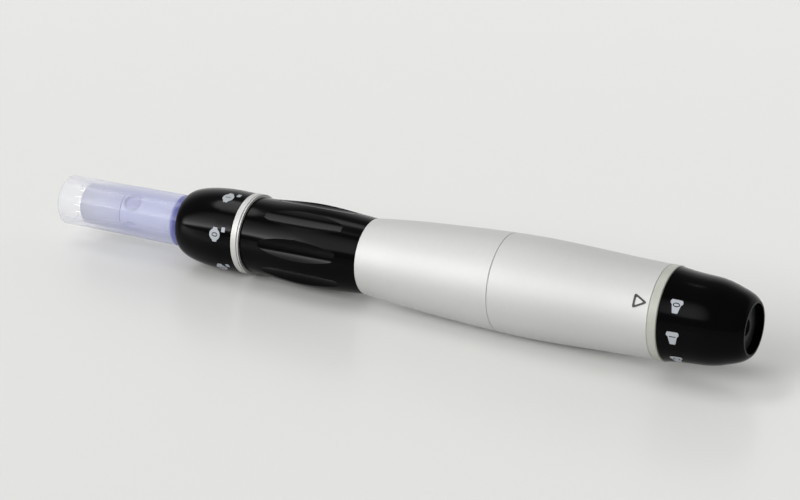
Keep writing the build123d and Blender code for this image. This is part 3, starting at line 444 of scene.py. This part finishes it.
class PenColours(bpy.types.PropertyGroup):
    """Colours of the pen, as linear values."""

    clear: FloatVectorProperty(
        name="Clear shell",
        description="Tint of the cartridge's clear shell",
        subtype="COLOR",
        default=(0.74, 0.745, 0.81),
        min=0.0,
        max=1.0,
    )
    tint: FloatVectorProperty(
        name="Shell tint",
        description="Tint of the clear shell towards its rear end",
        subtype="COLOR",
        default=(0.57, 0.59, 0.77),
        min=0.0,
        max=1.0,
    )
    # Painted shade: the clear shell's dark violet at the depth dial's mouth, where the dial shades
    # it
    deep: FloatVectorProperty(
        name="Deep violet",
        description="Clear shell's colour at the mouth of the depth dial",
        subtype="COLOR",
        default=(0.13, 0.14, 0.36),
        min=0.0,
        max=1.0,
    )
    violet: FloatVectorProperty(
        name="Violet plastic",
        description="Cartridge sleeve and needle carrier",
        subtype="COLOR",
        default=(0.66, 0.67, 0.82),
        min=0.0,
        max=1.0,
    )
    black: FloatVectorProperty(
        name="Black gloss",
        description="Dials and grip",
        subtype="COLOR",
        default=(0.001, 0.001, 0.0012),
        min=0.0,
        max=1.0,
    )
    silver: FloatVectorProperty(
        name="Satin silver",
        description="Barrel",
        subtype="COLOR",
        default=(0.56, 0.56, 0.555),
        min=0.0,
        max=1.0,
    )
    bright: FloatVectorProperty(
        name="Bright metal",
        description="Ring behind the depth dial",
        subtype="COLOR",
        default=(0.53, 0.53, 0.52),
        min=0.0,
        max=1.0,
    )
    cream: FloatVectorProperty(
        name="Cream plastic",
        description="Ring in front of the speed dial",
        subtype="COLOR",
        default=(0.39, 0.40, 0.355),
        min=0.0,
        max=1.0,
    )
    mark: FloatVectorProperty(
        name="Mark white",
        description="Printed marks on both dials",
        subtype="COLOR",
        default=(0.36, 0.385, 0.42),
        min=0.0,
        max=1.0,
    )
    ink: FloatVectorProperty(
        name="Arrow ink",
        description="Printed arrow on the barrel",
        subtype="COLOR",
        default=(0.012, 0.012, 0.012),
        min=0.0,
        max=1.0,
    )
    table: FloatVectorProperty(
        name="Table",
        description="Pale table under the pen",
        subtype="COLOR",
        default=(0.755, 0.755, 0.745),
        min=0.0,
        max=1.0,
    )


class PenMarks(bpy.types.PropertyGroup):
    """Sizes and places of the printed marks."""

    thickness: FloatProperty(
        name="Print thickness",
        description="How thick the printed ink is",
        default=0.04 * mm,
        min=0.005 * mm,
        unit="LENGTH",
    )
    depth_count: IntProperty(
        name="Depth marks", description="Numbers round the depth dial", default=6, min=1, max=9
    )
    depth_width: FloatProperty(
        name="Depth mark width", description="Width of a depth mark",
        default=2.7 * mm, unit="LENGTH",
    )
    depth_height: FloatProperty(
        name="Depth mark height", description="Height of a depth mark",
        default=3.3 * mm, unit="LENGTH",
    )
    depth_from_back: FloatProperty(
        name="Depth marks from back",
        description="From the depth dial's rear edge to the middle of its marks",
        default=4.1 * mm,
        unit="LENGTH",
    )
    depth_start: FloatProperty(
        name="Depth start angle",
        description="Angle of the first depth mark above the pen's front",
        default=radians(12),
        subtype="ANGLE",
    )
    tick_length: FloatProperty(
        name="Tick length", description="Length of the tick beside a depth mark",
        default=1.1 * mm, unit="LENGTH",
    )
    tick_width: FloatProperty(
        name="Tick width", description="Width of the tick beside a depth mark",
        default=0.9 * mm, unit="LENGTH",
    )
    speed_count: IntProperty(
        name="Speed marks", description="Numbers round the speed dial", default=6, min=1, max=9
    )
    speed_step: FloatProperty(
        name="Speed step", description="Angle from one speed mark to the next",
        default=radians(40), subtype="ANGLE",
    )
    speed_start: FloatProperty(
        name="Speed start angle",
        description="Angle of the first speed mark above the pen's front",
        default=radians(32),
        subtype="ANGLE",
    )
    speed_width: FloatProperty(
        name="Speed mark width", description="Width of a speed mark",
        default=2.7 * mm, unit="LENGTH",
    )
    speed_height: FloatProperty(
        name="Speed mark height", description="Height of a speed mark",
        default=2.9 * mm, unit="LENGTH",
    )
    speed_from_front: FloatProperty(
        name="Speed marks from front",
        description="From the speed dial's front edge to the middle of its marks",
        default=3.6 * mm,
        unit="LENGTH",
    )
    numeral_height: FloatProperty(
        name="Numeral height", description="Height of the numerals",
        default=1.5 * mm, unit="LENGTH",
    )
    arrow_length: FloatProperty(
        name="Arrow length", description="Length of the arrow on the barrel",
        default=3.2 * mm, unit="LENGTH",
    )
    arrow_width: FloatProperty(
        name="Arrow width", description="Width of the arrow on the barrel",
        default=3.4 * mm, unit="LENGTH",
    )
    arrow_line: FloatProperty(
        name="Arrow line", description="Width of the arrow's line",
        default=0.48 * mm, unit="LENGTH",
    )
    arrow_from_back: FloatProperty(
        name="Arrow from back",
        description="From the barrel's rear edge to the middle of the arrow",
        default=2.05 * mm,
        unit="LENGTH",
    )
    arrow_angle: FloatProperty(
        name="Arrow angle", description="Angle of the arrow above the pen's front",
        default=radians(29.5), subtype="ANGLE",
    )


class PenStage(bpy.types.PropertyGroup):
    """Camera, light and table."""

    azimuth: FloatProperty(
        name="Camera azimuth",
        description="Camera's angle from the pen's front towards its back end",
        default=radians(28.51),
        subtype="ANGLE",
    )
    elevation: FloatProperty(
        name="Camera elevation", description="Camera's angle above the table",
        default=radians(20.245), subtype="ANGLE",
    )
    distance: FloatProperty(
        name="Camera distance", description="From the camera to the point that it looks at",
        default=564.6 * mm, unit="LENGTH",
    )
    aim: FloatVectorProperty(
        name="Camera aim", description="Point that the camera looks at",
        default=(90.0 * mm, -4.2 * mm, 4.48 * mm), subtype="TRANSLATION",
    )
    lens: FloatProperty(
        name="Lens", description="Focal length on a 36 mm sensor, in millimetres", default=117.0
    )
    surround: FloatProperty(
        name="Surround light", description="Strength of the even light from all round",
        default=0.35,
    )
    window: FloatProperty(
        name="Window light", description="Brightness of the window along its sill",
        default=27.0,
    )
    opening: FloatProperty(
        name="Upper window light", description="Brightness of the window above its sill",
        default=3.4,
    )
    strip: FloatProperty(
        name="Strip light", description="Brightness of the strip high behind the pen",
        default=6.5,
    )
    window_fade: FloatProperty(
        name="Window fade",
        description="Height above the sill at which the window is 1/e as bright",
        default=radians(7),
        subtype="ANGLE",
    )
    backdrop: FloatVectorProperty(
        name="Backdrop", description="Colour seen beyond the table", subtype="COLOR",
        default=(0.775, 0.775, 0.765), min=0.0, max=1.0,
    )


# Finishes


def colour_of(name):
    """A colour from the settings."""
    return tuple(getattr(bpy.context.scene.pen_colours, name))


def clear_plastic(tint_from, tint_to, mouth):
    """Clear plastic: a faint veil that thickens where its wall is seen edge on, tinted violet from
    one place along the pen to another, and from the mouth backwards dark violet and less clear:
    painted shade, where the depth dial's mouth shades the shell."""
    veil, veil_edge, veil_tint, veil_mouth_shade, mouth_shade_ramp = 0.16, 0.6, 0.12, 0.44, 0.5 * mm
    clear = colour_of("clear")
    paint = Paint("clear_plastic", clear, 0.07, IOR=1.25)
    paint.handled(0.07, 0.04, 300.0)
    along, _, _ = paint.parts(paint.place())
    tint = ((along - tint_from) * (1 / (tint_to - tint_from))).clamped()
    # Painted shade: from the mouth backwards the shell turns dark violet and less clear, where the
    # dial shades it
    deep = ((along - mouth) * (1 / mouth_shade_ramp)).clamped()
    tinted = paint.blend(tint, clear, colour_of("tint"))
    paint.set("Base Color", paint.blend(deep, tinted, colour_of("deep")))
    veils = paint.facing() ** 2 * veil_edge + tint * veil_tint + deep * veil_mouth_shade + veil
    paint.set("Alpha", veils)
    return paint


def violet_plastic(name, colour, wall, mouth):
    """Pale violet plastic with a little drift in its colour. Nearer to the axis than its wall, and
    in front of the dial's mouth, it glows faintly: painted light, standing in for light that comes
    through the wall."""
    paint = Paint(name, colour, 0.3, IOR=1.3, Emission_Strength=0.24)
    paint.mottled(240.0, 0.04)
    paint.grain(0.25 * mm, 0.004 * mm)
    along, _, _ = paint.parts(paint.place())
    # Painted light: a faint glow on the surfaces inside the wall, in front of the mouth
    inside = paint.from_axis().below(wall) * along.below(mouth)
    paint.set("Emission Color", paint.blend(inside, (0.0, 0.0, 0.0), colour))
    return paint


def window_rims(paint, x, angle, radius, width):
    """Painted shade: darken a plastic in a ring round the edge of each of four windows cut through
    a sleeve. The windows lie on two lines square to the pen; a point's distance from a line through
    (x, 0, 0) with direction d is (|p|^2 - (p . d)^2)^(1/2)."""
    darkness = 0.5
    along, y, z = paint.parts(paint.place())
    ahead = along - x
    square = ahead * ahead + y * y + z * z
    rim_shade = 0.0
    for turn in (angle, angle + pi / 2):
        depth = y * -cos(turn) + z * sin(turn)
        away = (square - depth * depth) ** 0.5 - radius
        rim_shade = (away * away).fading(width**2) + rim_shade
    shown = paint.blend(rim_shade.clamped(), paint.base, shade(paint.colour, darkness))
    paint.set("Base Color", shown)


def shaded_front(paint, x, length):
    """Darken a plastic towards its front end at x, by exp(-(distance behind x) / length)."""
    darkness = 0.68
    along, _, _ = paint.parts(paint.place())
    shadow = (along - x).fading(length).clamped()
    paint.set("Base Color", paint.blend(shadow, paint.base, shade(paint.colour, darkness)))


def black_gloss():
    """Polished black plastic with faint handling marks."""
    paint = Paint("black_gloss", colour_of("black"), 0.12, IOR=1.145)
    paint.handled(0.12, 0.05, 160.0)
    paint.grain(0.6 * mm, 0.0004 * mm)
    return paint


def satin_silver():
    """Blasted and anodised aluminium: fine grain under an even sheen."""
    paint = Paint("satin_silver", colour_of("silver"), 0.66, 0.6)
    paint.mottled(900.0, 0.02)
    paint.handled(0.66, 0.05, 90.0)
    paint.grain(0.09 * mm, 0.0015 * mm)
    return paint


def bright_metal():
    """Satin metal with the fine rings of a lathe."""
    paint = Paint("bright_metal", colour_of("bright"), 0.52, 0.3)
    paint.handled(0.52, 0.08, 600.0)
    paint.lathe_lines(0.05 * mm, 0.001 * mm)
    return paint


def cream_plastic():
    """Moulded cream plastic with a fine grain."""
    paint = Paint("cream_plastic", colour_of("cream"), 0.4)
    paint.mottled(500.0, 0.03)
    paint.grain(0.12 * mm, 0.002 * mm)
    return paint


def mark_print():
    """White ink, a little uneven where it lies thin."""
    paint = Paint("mark_print", colour_of("mark"), 0.5)
    paint.mottled(2500.0, 0.08)
    paint.grain(0.08 * mm, 0.002 * mm)
    return paint


def arrow_ink():
    """Black ink, a little uneven where it lies thin."""
    paint = Paint("arrow_ink", colour_of("ink"), 0.45)
    paint.mottled(2500.0, 0.3)
    return paint


def turned_metal(name, colour, roughness, line=0.06 * mm):
    """Metal with the fine rings of a lathe."""
    paint = Paint(name, colour, roughness, 1.0)
    paint.mottled(400.0, 0.05)
    paint.handled(roughness, 0.1, 500.0)
    paint.lathe_lines(line, 0.0015 * mm)
    return paint


def moulded(name, colour, roughness):
    """Plastic or rubber from a plain mould."""
    paint = Paint(name, colour, roughness)
    paint.mottled(500.0, 0.06)
    paint.handled(roughness, 0.08, 300.0)
    paint.grain(0.15 * mm, 0.003 * mm)
    return paint


# One operator for each group of pieces


class PEN_OT_cartridge(bpy.types.Operator):
    """Clear shell, violet sleeve and carrier, needles and rings of the cartridge"""

    bl_idname = "pen.cartridge"
    bl_label = "Needle cartridge"

    def execute(self, context):
        violet = colour_of("violet")
        front = low("needle_carrier")[0]
        # The shell's painted shade and the violet plastics' painted glow change at mouth,
        # dark_mouth ahead of the depth dial
        dark_mouth, tint_ahead, front_shadow = 2.2 * mm, 2 * mm, 3.5 * mm
        mouth = low("depth_dial")[0] - dark_mouth
        clear_plastic(front - tint_ahead, (front + mouth) / 2, mouth).cover("tip_shell")
        wall = 0.84 * high("needle_carrier")[1]
        sleeve = violet_plastic("sleeve_plastic", violet, wall, mouth)
        window_x = low("cartridge_base")[0] + 2.6 * mm
        window_angle, window_radius, rim_shade_width = radians(50), 2.1 * mm, 0.3 * mm
        # Painted shade in a ring round the edge of each of the sleeve's windows
        window_rims(sleeve, window_x, window_angle, window_radius, rim_shade_width)
        sleeve.cover("cartridge_base")
        carrier = violet_plastic("carrier_plastic", shade(violet, 0.86), wall, mouth)
        shaded_front(carrier, front, front_shadow)
        carrier.cover("needle_carrier")
        turned_metal("needle_steel", (0.75, 0.75, 0.77), 0.2).cover("needles", "follower_ball")
        moulded("rubber", (0.03, 0.03, 0.03), 0.7).cover(
            "cartridge_o_ring", "socket_o_ring", "motor_dampers"
        )
        return {"FINISHED"}


class PEN_OT_depth_dial(bpy.types.Operator):
    """Black depth dial, its numbered marks and the bright ring behind it"""

    bl_idname = "pen.depth_dial"
    bl_label = "Depth dial"

    def execute(self, context):
        sizes = context.scene.pen_marks
        black_gloss().cover("depth_dial")
        bright_metal().cover("index_ring")
        x = high("depth_dial")[0] - sizes.depth_from_back
        start, step = np.degrees(sizes.depth_start), 360 / sizes.depth_count
        badge = medallion(sizes.depth_width, sizes.depth_height)
        tick_behind, tick_above, tick_round = 2.05 * mm, 8.5, 0.15 * mm
        half_length, half_width = sizes.tick_length / 2, sizes.tick_width / 2
        tick = [
            (-half_width, -half_length), (half_width, -half_length),
            (half_width, half_length), (-half_width, half_length),
        ]
        marks = []
        for stop in range(sizes.depth_count):
            mesh = flat_mark([badge], sizes.thickness, str(stop), sizes.numeral_height)
            marks.append((mesh, x, start + step * stop))
            mesh = flat_mark([rounded(tick, tick_round)], sizes.thickness)
            marks.append((mesh, x + tick_behind, start + step * stop + tick_above))
        print_marks(
            "depth_marks", marks, "depth_dial", "depth_dial", sizes.thickness, mark_print(),
            "black_plastic",
        )
        return {"FINISHED"}


class PEN_OT_grip(bpy.types.Operator):
    """Fluted black grip"""

    bl_idname = "pen.grip"
    bl_label = "Grip"

    def execute(self, context):
        black_gloss().cover("grip_sleeve")
        return {"FINISHED"}


class PEN_OT_barrel(bpy.types.Operator):
    """Silver barrel halves with the printed arrow, and the cream ring"""

    bl_idname = "pen.barrel"
    bl_label = "Barrel"

    def execute(self, context):
        sizes = context.scene.pen_marks
        satin_silver().cover("front_barrel", "rear_barrel")
        cream_plastic().cover("spacer_ring")
        x = high("rear_barrel")[0] - sizes.arrow_from_back
        length, width, line = sizes.arrow_length, sizes.arrow_width, sizes.arrow_line
        outer = np.array([(length / 2, 0), (-length / 2, width / 2), (-length / 2, -width / 2)])
        middle = outer.mean(axis=0)
        inner = middle + (outer - middle) * (1 - 3 * line / width)
        outer_round, inner_round = 0.7 * mm, 0.4 * mm
        mesh = flat_mark(
            [rounded(outer, outer_round), rounded(inner, inner_round)], sizes.thickness
        )
        print_marks(
            "barrel_arrow", [(mesh, x, np.degrees(sizes.arrow_angle))], "rear_barrel", "handle",
            sizes.thickness, arrow_ink(), "satin_silver",
        )
        return {"FINISHED"}


class PEN_OT_speed_dial(bpy.types.Operator):
    """Black speed dial and its numbered marks"""

    bl_idname = "pen.speed_dial"
    bl_label = "Speed dial"

    def execute(self, context):
        sizes = context.scene.pen_marks
        black_gloss().cover("speed_dial")
        x = high("spacer_ring")[0] + sizes.speed_from_front
        start, step = np.degrees(sizes.speed_start), np.degrees(sizes.speed_step)
        badge = shield(sizes.speed_width, sizes.speed_height)
        numeral_rise = 0.35 * mm
        marks = []
        for stop in range(sizes.speed_count):
            mesh = flat_mark(
                [badge], sizes.thickness, str(stop), sizes.numeral_height, numeral_rise
            )
            marks.append((mesh, x, start - step * stop))
        print_marks(
            "speed_marks", marks, "speed_dial", "speed_dial", sizes.thickness, mark_print(),
            "black_plastic",
        )
        return {"FINISHED"}


class PEN_OT_jack(bpy.types.Operator):
    """Power socket, its nut and its leads"""

    bl_idname = "pen.jack"
    bl_label = "Power socket"

    def execute(self, context):
        ring_pitch = 0.12 * mm
        nut = Paint("nut_metal", (0.05, 0.05, 0.052), 0.35, 0.8)
        nut.handled(0.35, 0.15, 900.0)
        rings = (nut.from_axis() * (2 * pi / ring_pitch)).sine()
        nut.bump(rings, 0.002 * mm)
        nut.cover("jack_nut")
        moulded("socket_black", (0.006, 0.006, 0.006), 0.5).cover("jack_socket", "board_parts")
        turned_metal("contact_brass", (0.72, 0.54, 0.25), 0.3).cover("jack_contacts")
        moulded("lead_red", (0.42, 0.04, 0.035), 0.5).cover("jack_leads", "track_leads")
        return {"FINISHED"}


class PEN_OT_springs(bpy.types.Operator):
    """Wound springs behind the needle carrier and behind the drive rod's guide, in place of the
    CAD's springs, which are hidden"""

    bl_idname = "pen.springs"
    bl_label = "Springs"

    def execute(self, context):
        steel = turned_metal("spring_steel", (0.60, 0.60, 0.62), 0.25)
        steel.cover("depth_click_clip", "speed_click_clip")
        springs = [
            ("carrier_coil", "carrier_spring", "cartridge", "carrier_slide", 7),
            ("return_coil", "return_spring", "handle", "rod_slide", 6),
        ]
        for name, node, body, joint, turns in springs:
            coil = add_piece(name, *wound(node, turns), body, steel, "spring_steel")
            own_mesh(coil)
            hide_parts(node)
        return {"FINISHED"}


class PEN_OT_inner_works(bpy.types.Operator):
    """Drive, motor, board and other pieces inside the pen"""

    bl_idname = "pen.inner_works"
    bl_label = "Inner works"

    def execute(self, context):
        turned_metal("machined_steel", (0.58, 0.58, 0.60), 0.3).cover(
            "cam_sleeve", "cam_pin", "chassis_tube", "barrel_coupler", "guide_screws",
            "drive_rod", "guide_pins", "cam_screw", "motor_shaft", "motor_mount", "motor_screws",
        )
        turned_metal("turned_brass", (0.72, 0.54, 0.25), 0.28).cover(
            "follower_plate", "swash_cam", "motor_brushes", "motor_bushes", "motor_terminals",
            "speed_wiper",
        )
        turned_metal("can_steel", (0.52, 0.52, 0.53), 0.35, 0.2 * mm).cover("motor_can")
        turned_metal("winding_copper", (0.72, 0.34, 0.18), 0.3, 0.25 * mm).cover(
            "motor_windings", "motor_commutator"
        )
        turned_metal("stacked_sheet", (0.28, 0.28, 0.29), 0.45, 0.35 * mm).cover("motor_armature")
        moulded("magnet_dark", (0.10, 0.10, 0.11), 0.55).cover("motor_magnets")
        moulded("socket_plastic", (0.12, 0.12, 0.13), 0.45).cover("cartridge_socket")
        moulded("guide_plastic", (0.78, 0.77, 0.72), 0.4).cover("rod_guide")
        moulded("end_cap_plastic", (0.82, 0.82, 0.79), 0.45).cover("motor_end_cap")
        moulded("chassis_plastic", (0.05, 0.05, 0.055), 0.5).cover("tail_chassis")
        moulded("carbon_track", (0.035, 0.035, 0.035), 0.6).cover("speed_track")
        moulded("board_green", (0.03, 0.20, 0.09), 0.35).cover("control_board")
        return {"FINISHED"}


def direction(azimuth, elevation):
    """Unit vector towards an angle from the pen's front, positive to its back end, and up."""
    return Vector(
        (sin(azimuth) * cos(elevation), -cos(azimuth) * cos(elevation), sin(elevation))
    )


def light_world(surround, window, fade, opening, strip, backdrop):
    """Studio light, all in the world: even surround, a pale backdrop low behind the pen, a window
    whose sill runs from low on the left to higher towards the front, and a strip high behind the
    pen's tip. The window's light is opening + window * exp(-h / fade), with h the height above the
    sill. The camera sees the backdrop's colour instead."""
    world = bpy.data.worlds.new("studio")
    bpy.context.scene.world = world
    world.use_nodes = True
    nodes = Nodes(world.node_tree)
    nodes.tree.nodes.clear()
    towards = nodes.parts(nodes.node("ShaderNodeTexCoord", {}))

    def along(axis):
        return towards[0] * axis[0] + towards[1] * axis[1] + towards[2] * axis[2]

    def patch(azimuth, elevation, inner, outer):
        """One inside a circle on the sky, fading to nought at a wider circle, all in degrees."""
        edge, full = cos(radians(outer)), cos(radians(inner))
        near = along(direction(radians(azimuth), radians(elevation)))
        return ((near - edge) * (1 / (full - edge))).clamped()

    sill_left = direction(radians(-59), radians(4))
    sill_right = direction(radians(-32), radians(13))
    above = along(sill_left.cross(sill_right).normalized())
    sill_edge = 0.06
    opened = (above * (1 / sill_edge)).clamped()
    sill = patch(-45, 16, 15, 22) * above.fading(fade) * window
    upper = patch(-28, 27, 9, 31) * opening

    strip_foot, strip_top, strip_edge = 0.81, 0.925, 0.02
    over_foot = (towards[2] - strip_foot) * (1 / strip_edge)
    under_top = (strip_top - towards[2]) * (1 / strip_edge)
    band = over_foot.clamped() * under_top.clamped() * patch(-97, 60, 11, 23) * strip

    backdrop_top, backdrop_edge, backdrop_light = 0.7, 0.25, 1.1
    low_down = ((backdrop_top - towards[2]) * (1 / backdrop_edge)).clamped()
    behind = (towards[1] * 2.0).clamped() * low_down * (backdrop_light - surround)

    glow = opened * (sill + upper) + band + behind + surround
    even = nodes.node("ShaderNodeBackground", {}, (1.0, 1.0, 0.99), glow)
    shown = nodes.node("ShaderNodeBackground", {}, backdrop, 1.0)
    seen = nodes.node("ShaderNodeLightPath", {})
    either = nodes.node("ShaderNodeMixShader", {}, seen, even, shown)
    nodes.node("ShaderNodeOutputWorld", {}, either)


def resting_plane():
    """Height of the table under the pen as z = a + b x: the line that touches the barrel's
    lowest point and, leaning on it, the next lowest part towards the tip."""
    lever = 20 * mm
    shown = ["tip_shell", "depth_dial", "grip_sleeve", "front_barrel", "rear_barrel"]
    points = np.concatenate([corners(node) for node in shown])
    foot = points[points[:, 2].argmin()]
    ahead = points[points[:, 0] < foot[0] - lever]
    slope = ((ahead[:, 2] - foot[2]) / (ahead[:, 0] - foot[0])).max()
    return foot[2] - slope * foot[0], slope


class PEN_OT_stage(bpy.types.Operator):
    """Pale table, studio light and the camera"""

    bl_idname = "pen.stage"
    bl_label = "Table, light and camera"

    def execute(self, context):
        stage = context.scene.pen_stage
        eye = bpy.data.cameras.new("camera")
        eye.sensor_width = 36.0
        eye.lens = stage.lens
        eye.clip_start, eye.clip_end = 10 * mm, 50.0
        camera = bpy.data.objects.new("camera", eye)
        away = direction(stage.azimuth, stage.elevation)
        camera.location = Vector(stage.aim) + away * stage.distance
        camera.rotation_euler = away.to_track_quat("Z", "Y").to_euler()
        context.scene.collection.objects.link(camera)
        context.scene.camera = camera

        height, slope = resting_plane()
        half_side, gap = 3.0, 0.02 * mm
        reach = half_side * np.array([(-1, -1), (1, -1), (1, 1), (-1, 1)])
        points = np.column_stack([reach, height - gap + slope * reach[:, 0]])
        mesh = bpy.data.meshes.new("table")
        mesh.from_pydata(points.tolist(), [], [[0, 1, 2, 3]])
        paint = Paint("table_top", colour_of("table"), 0.24, Specular_IOR_Level=0.15)
        paint.mottled(3.0, 0.01)
        paint.handled(0.24, 0.04, 12.0)
        mesh.materials.append(paint.material)
        table = bpy.data.objects.new("table", mesh)
        context.scene.collection.objects.link(table)

        light_world(
            stage.surround, stage.window, stage.window_fade, stage.opening, stage.strip,
            tuple(stage.backdrop),
        )
        context.scene.view_settings.view_transform = "Standard"
        return {"FINISHED"}


class PEN_PT_panel(bpy.types.Panel):
    """Lists the pieces of the pen"""

    bl_idname = "PEN_PT_panel"
    bl_label = "Microneedling pen"
    bl_space_type = "VIEW_3D"
    bl_region_type = "UI"
    bl_category = "Pen"

    def draw(self, context):
        for operator in operators:
            self.layout.operator(operator.bl_idname)
        for group in (context.scene.pen_colours, context.scene.pen_marks, context.scene.pen_stage):
            box = self.layout.box()
            for name in group.bl_rna.properties.keys()[1:]:
                box.prop(group, name)


operators = [
    PEN_OT_stage,
    PEN_OT_cartridge,
    PEN_OT_depth_dial,
    PEN_OT_grip,
    PEN_OT_barrel,
    PEN_OT_speed_dial,
    PEN_OT_jack,
    PEN_OT_springs,
    PEN_OT_inner_works,
]
classes = [PenColours, PenMarks, PenStage, *operators, PEN_PT_panel]


def register():
    for made in classes:
        bpy.utils.register_class(made)
    bpy.types.Scene.pen_colours = PointerProperty(type=PenColours)
    bpy.types.Scene.pen_marks = PointerProperty(type=PenMarks)
    bpy.types.Scene.pen_stage = PointerProperty(type=PenStage)


def unregister():
    del bpy.types.Scene.pen_stage
    del bpy.types.Scene.pen_marks
    del bpy.types.Scene.pen_colours
    for made in reversed(classes):
        bpy.utils.unregister_class(made)


def main():
    register()
    bpy.ops.pen.stage()
    bpy.ops.pen.cartridge()
    bpy.ops.pen.depth_dial()
    bpy.ops.pen.grip()
    bpy.ops.pen.barrel()
    bpy.ops.pen.speed_dial()
    bpy.ops.pen.jack()
    bpy.ops.pen.springs()
    bpy.ops.pen.inner_works()


if __name__ == "__main__":
    main()
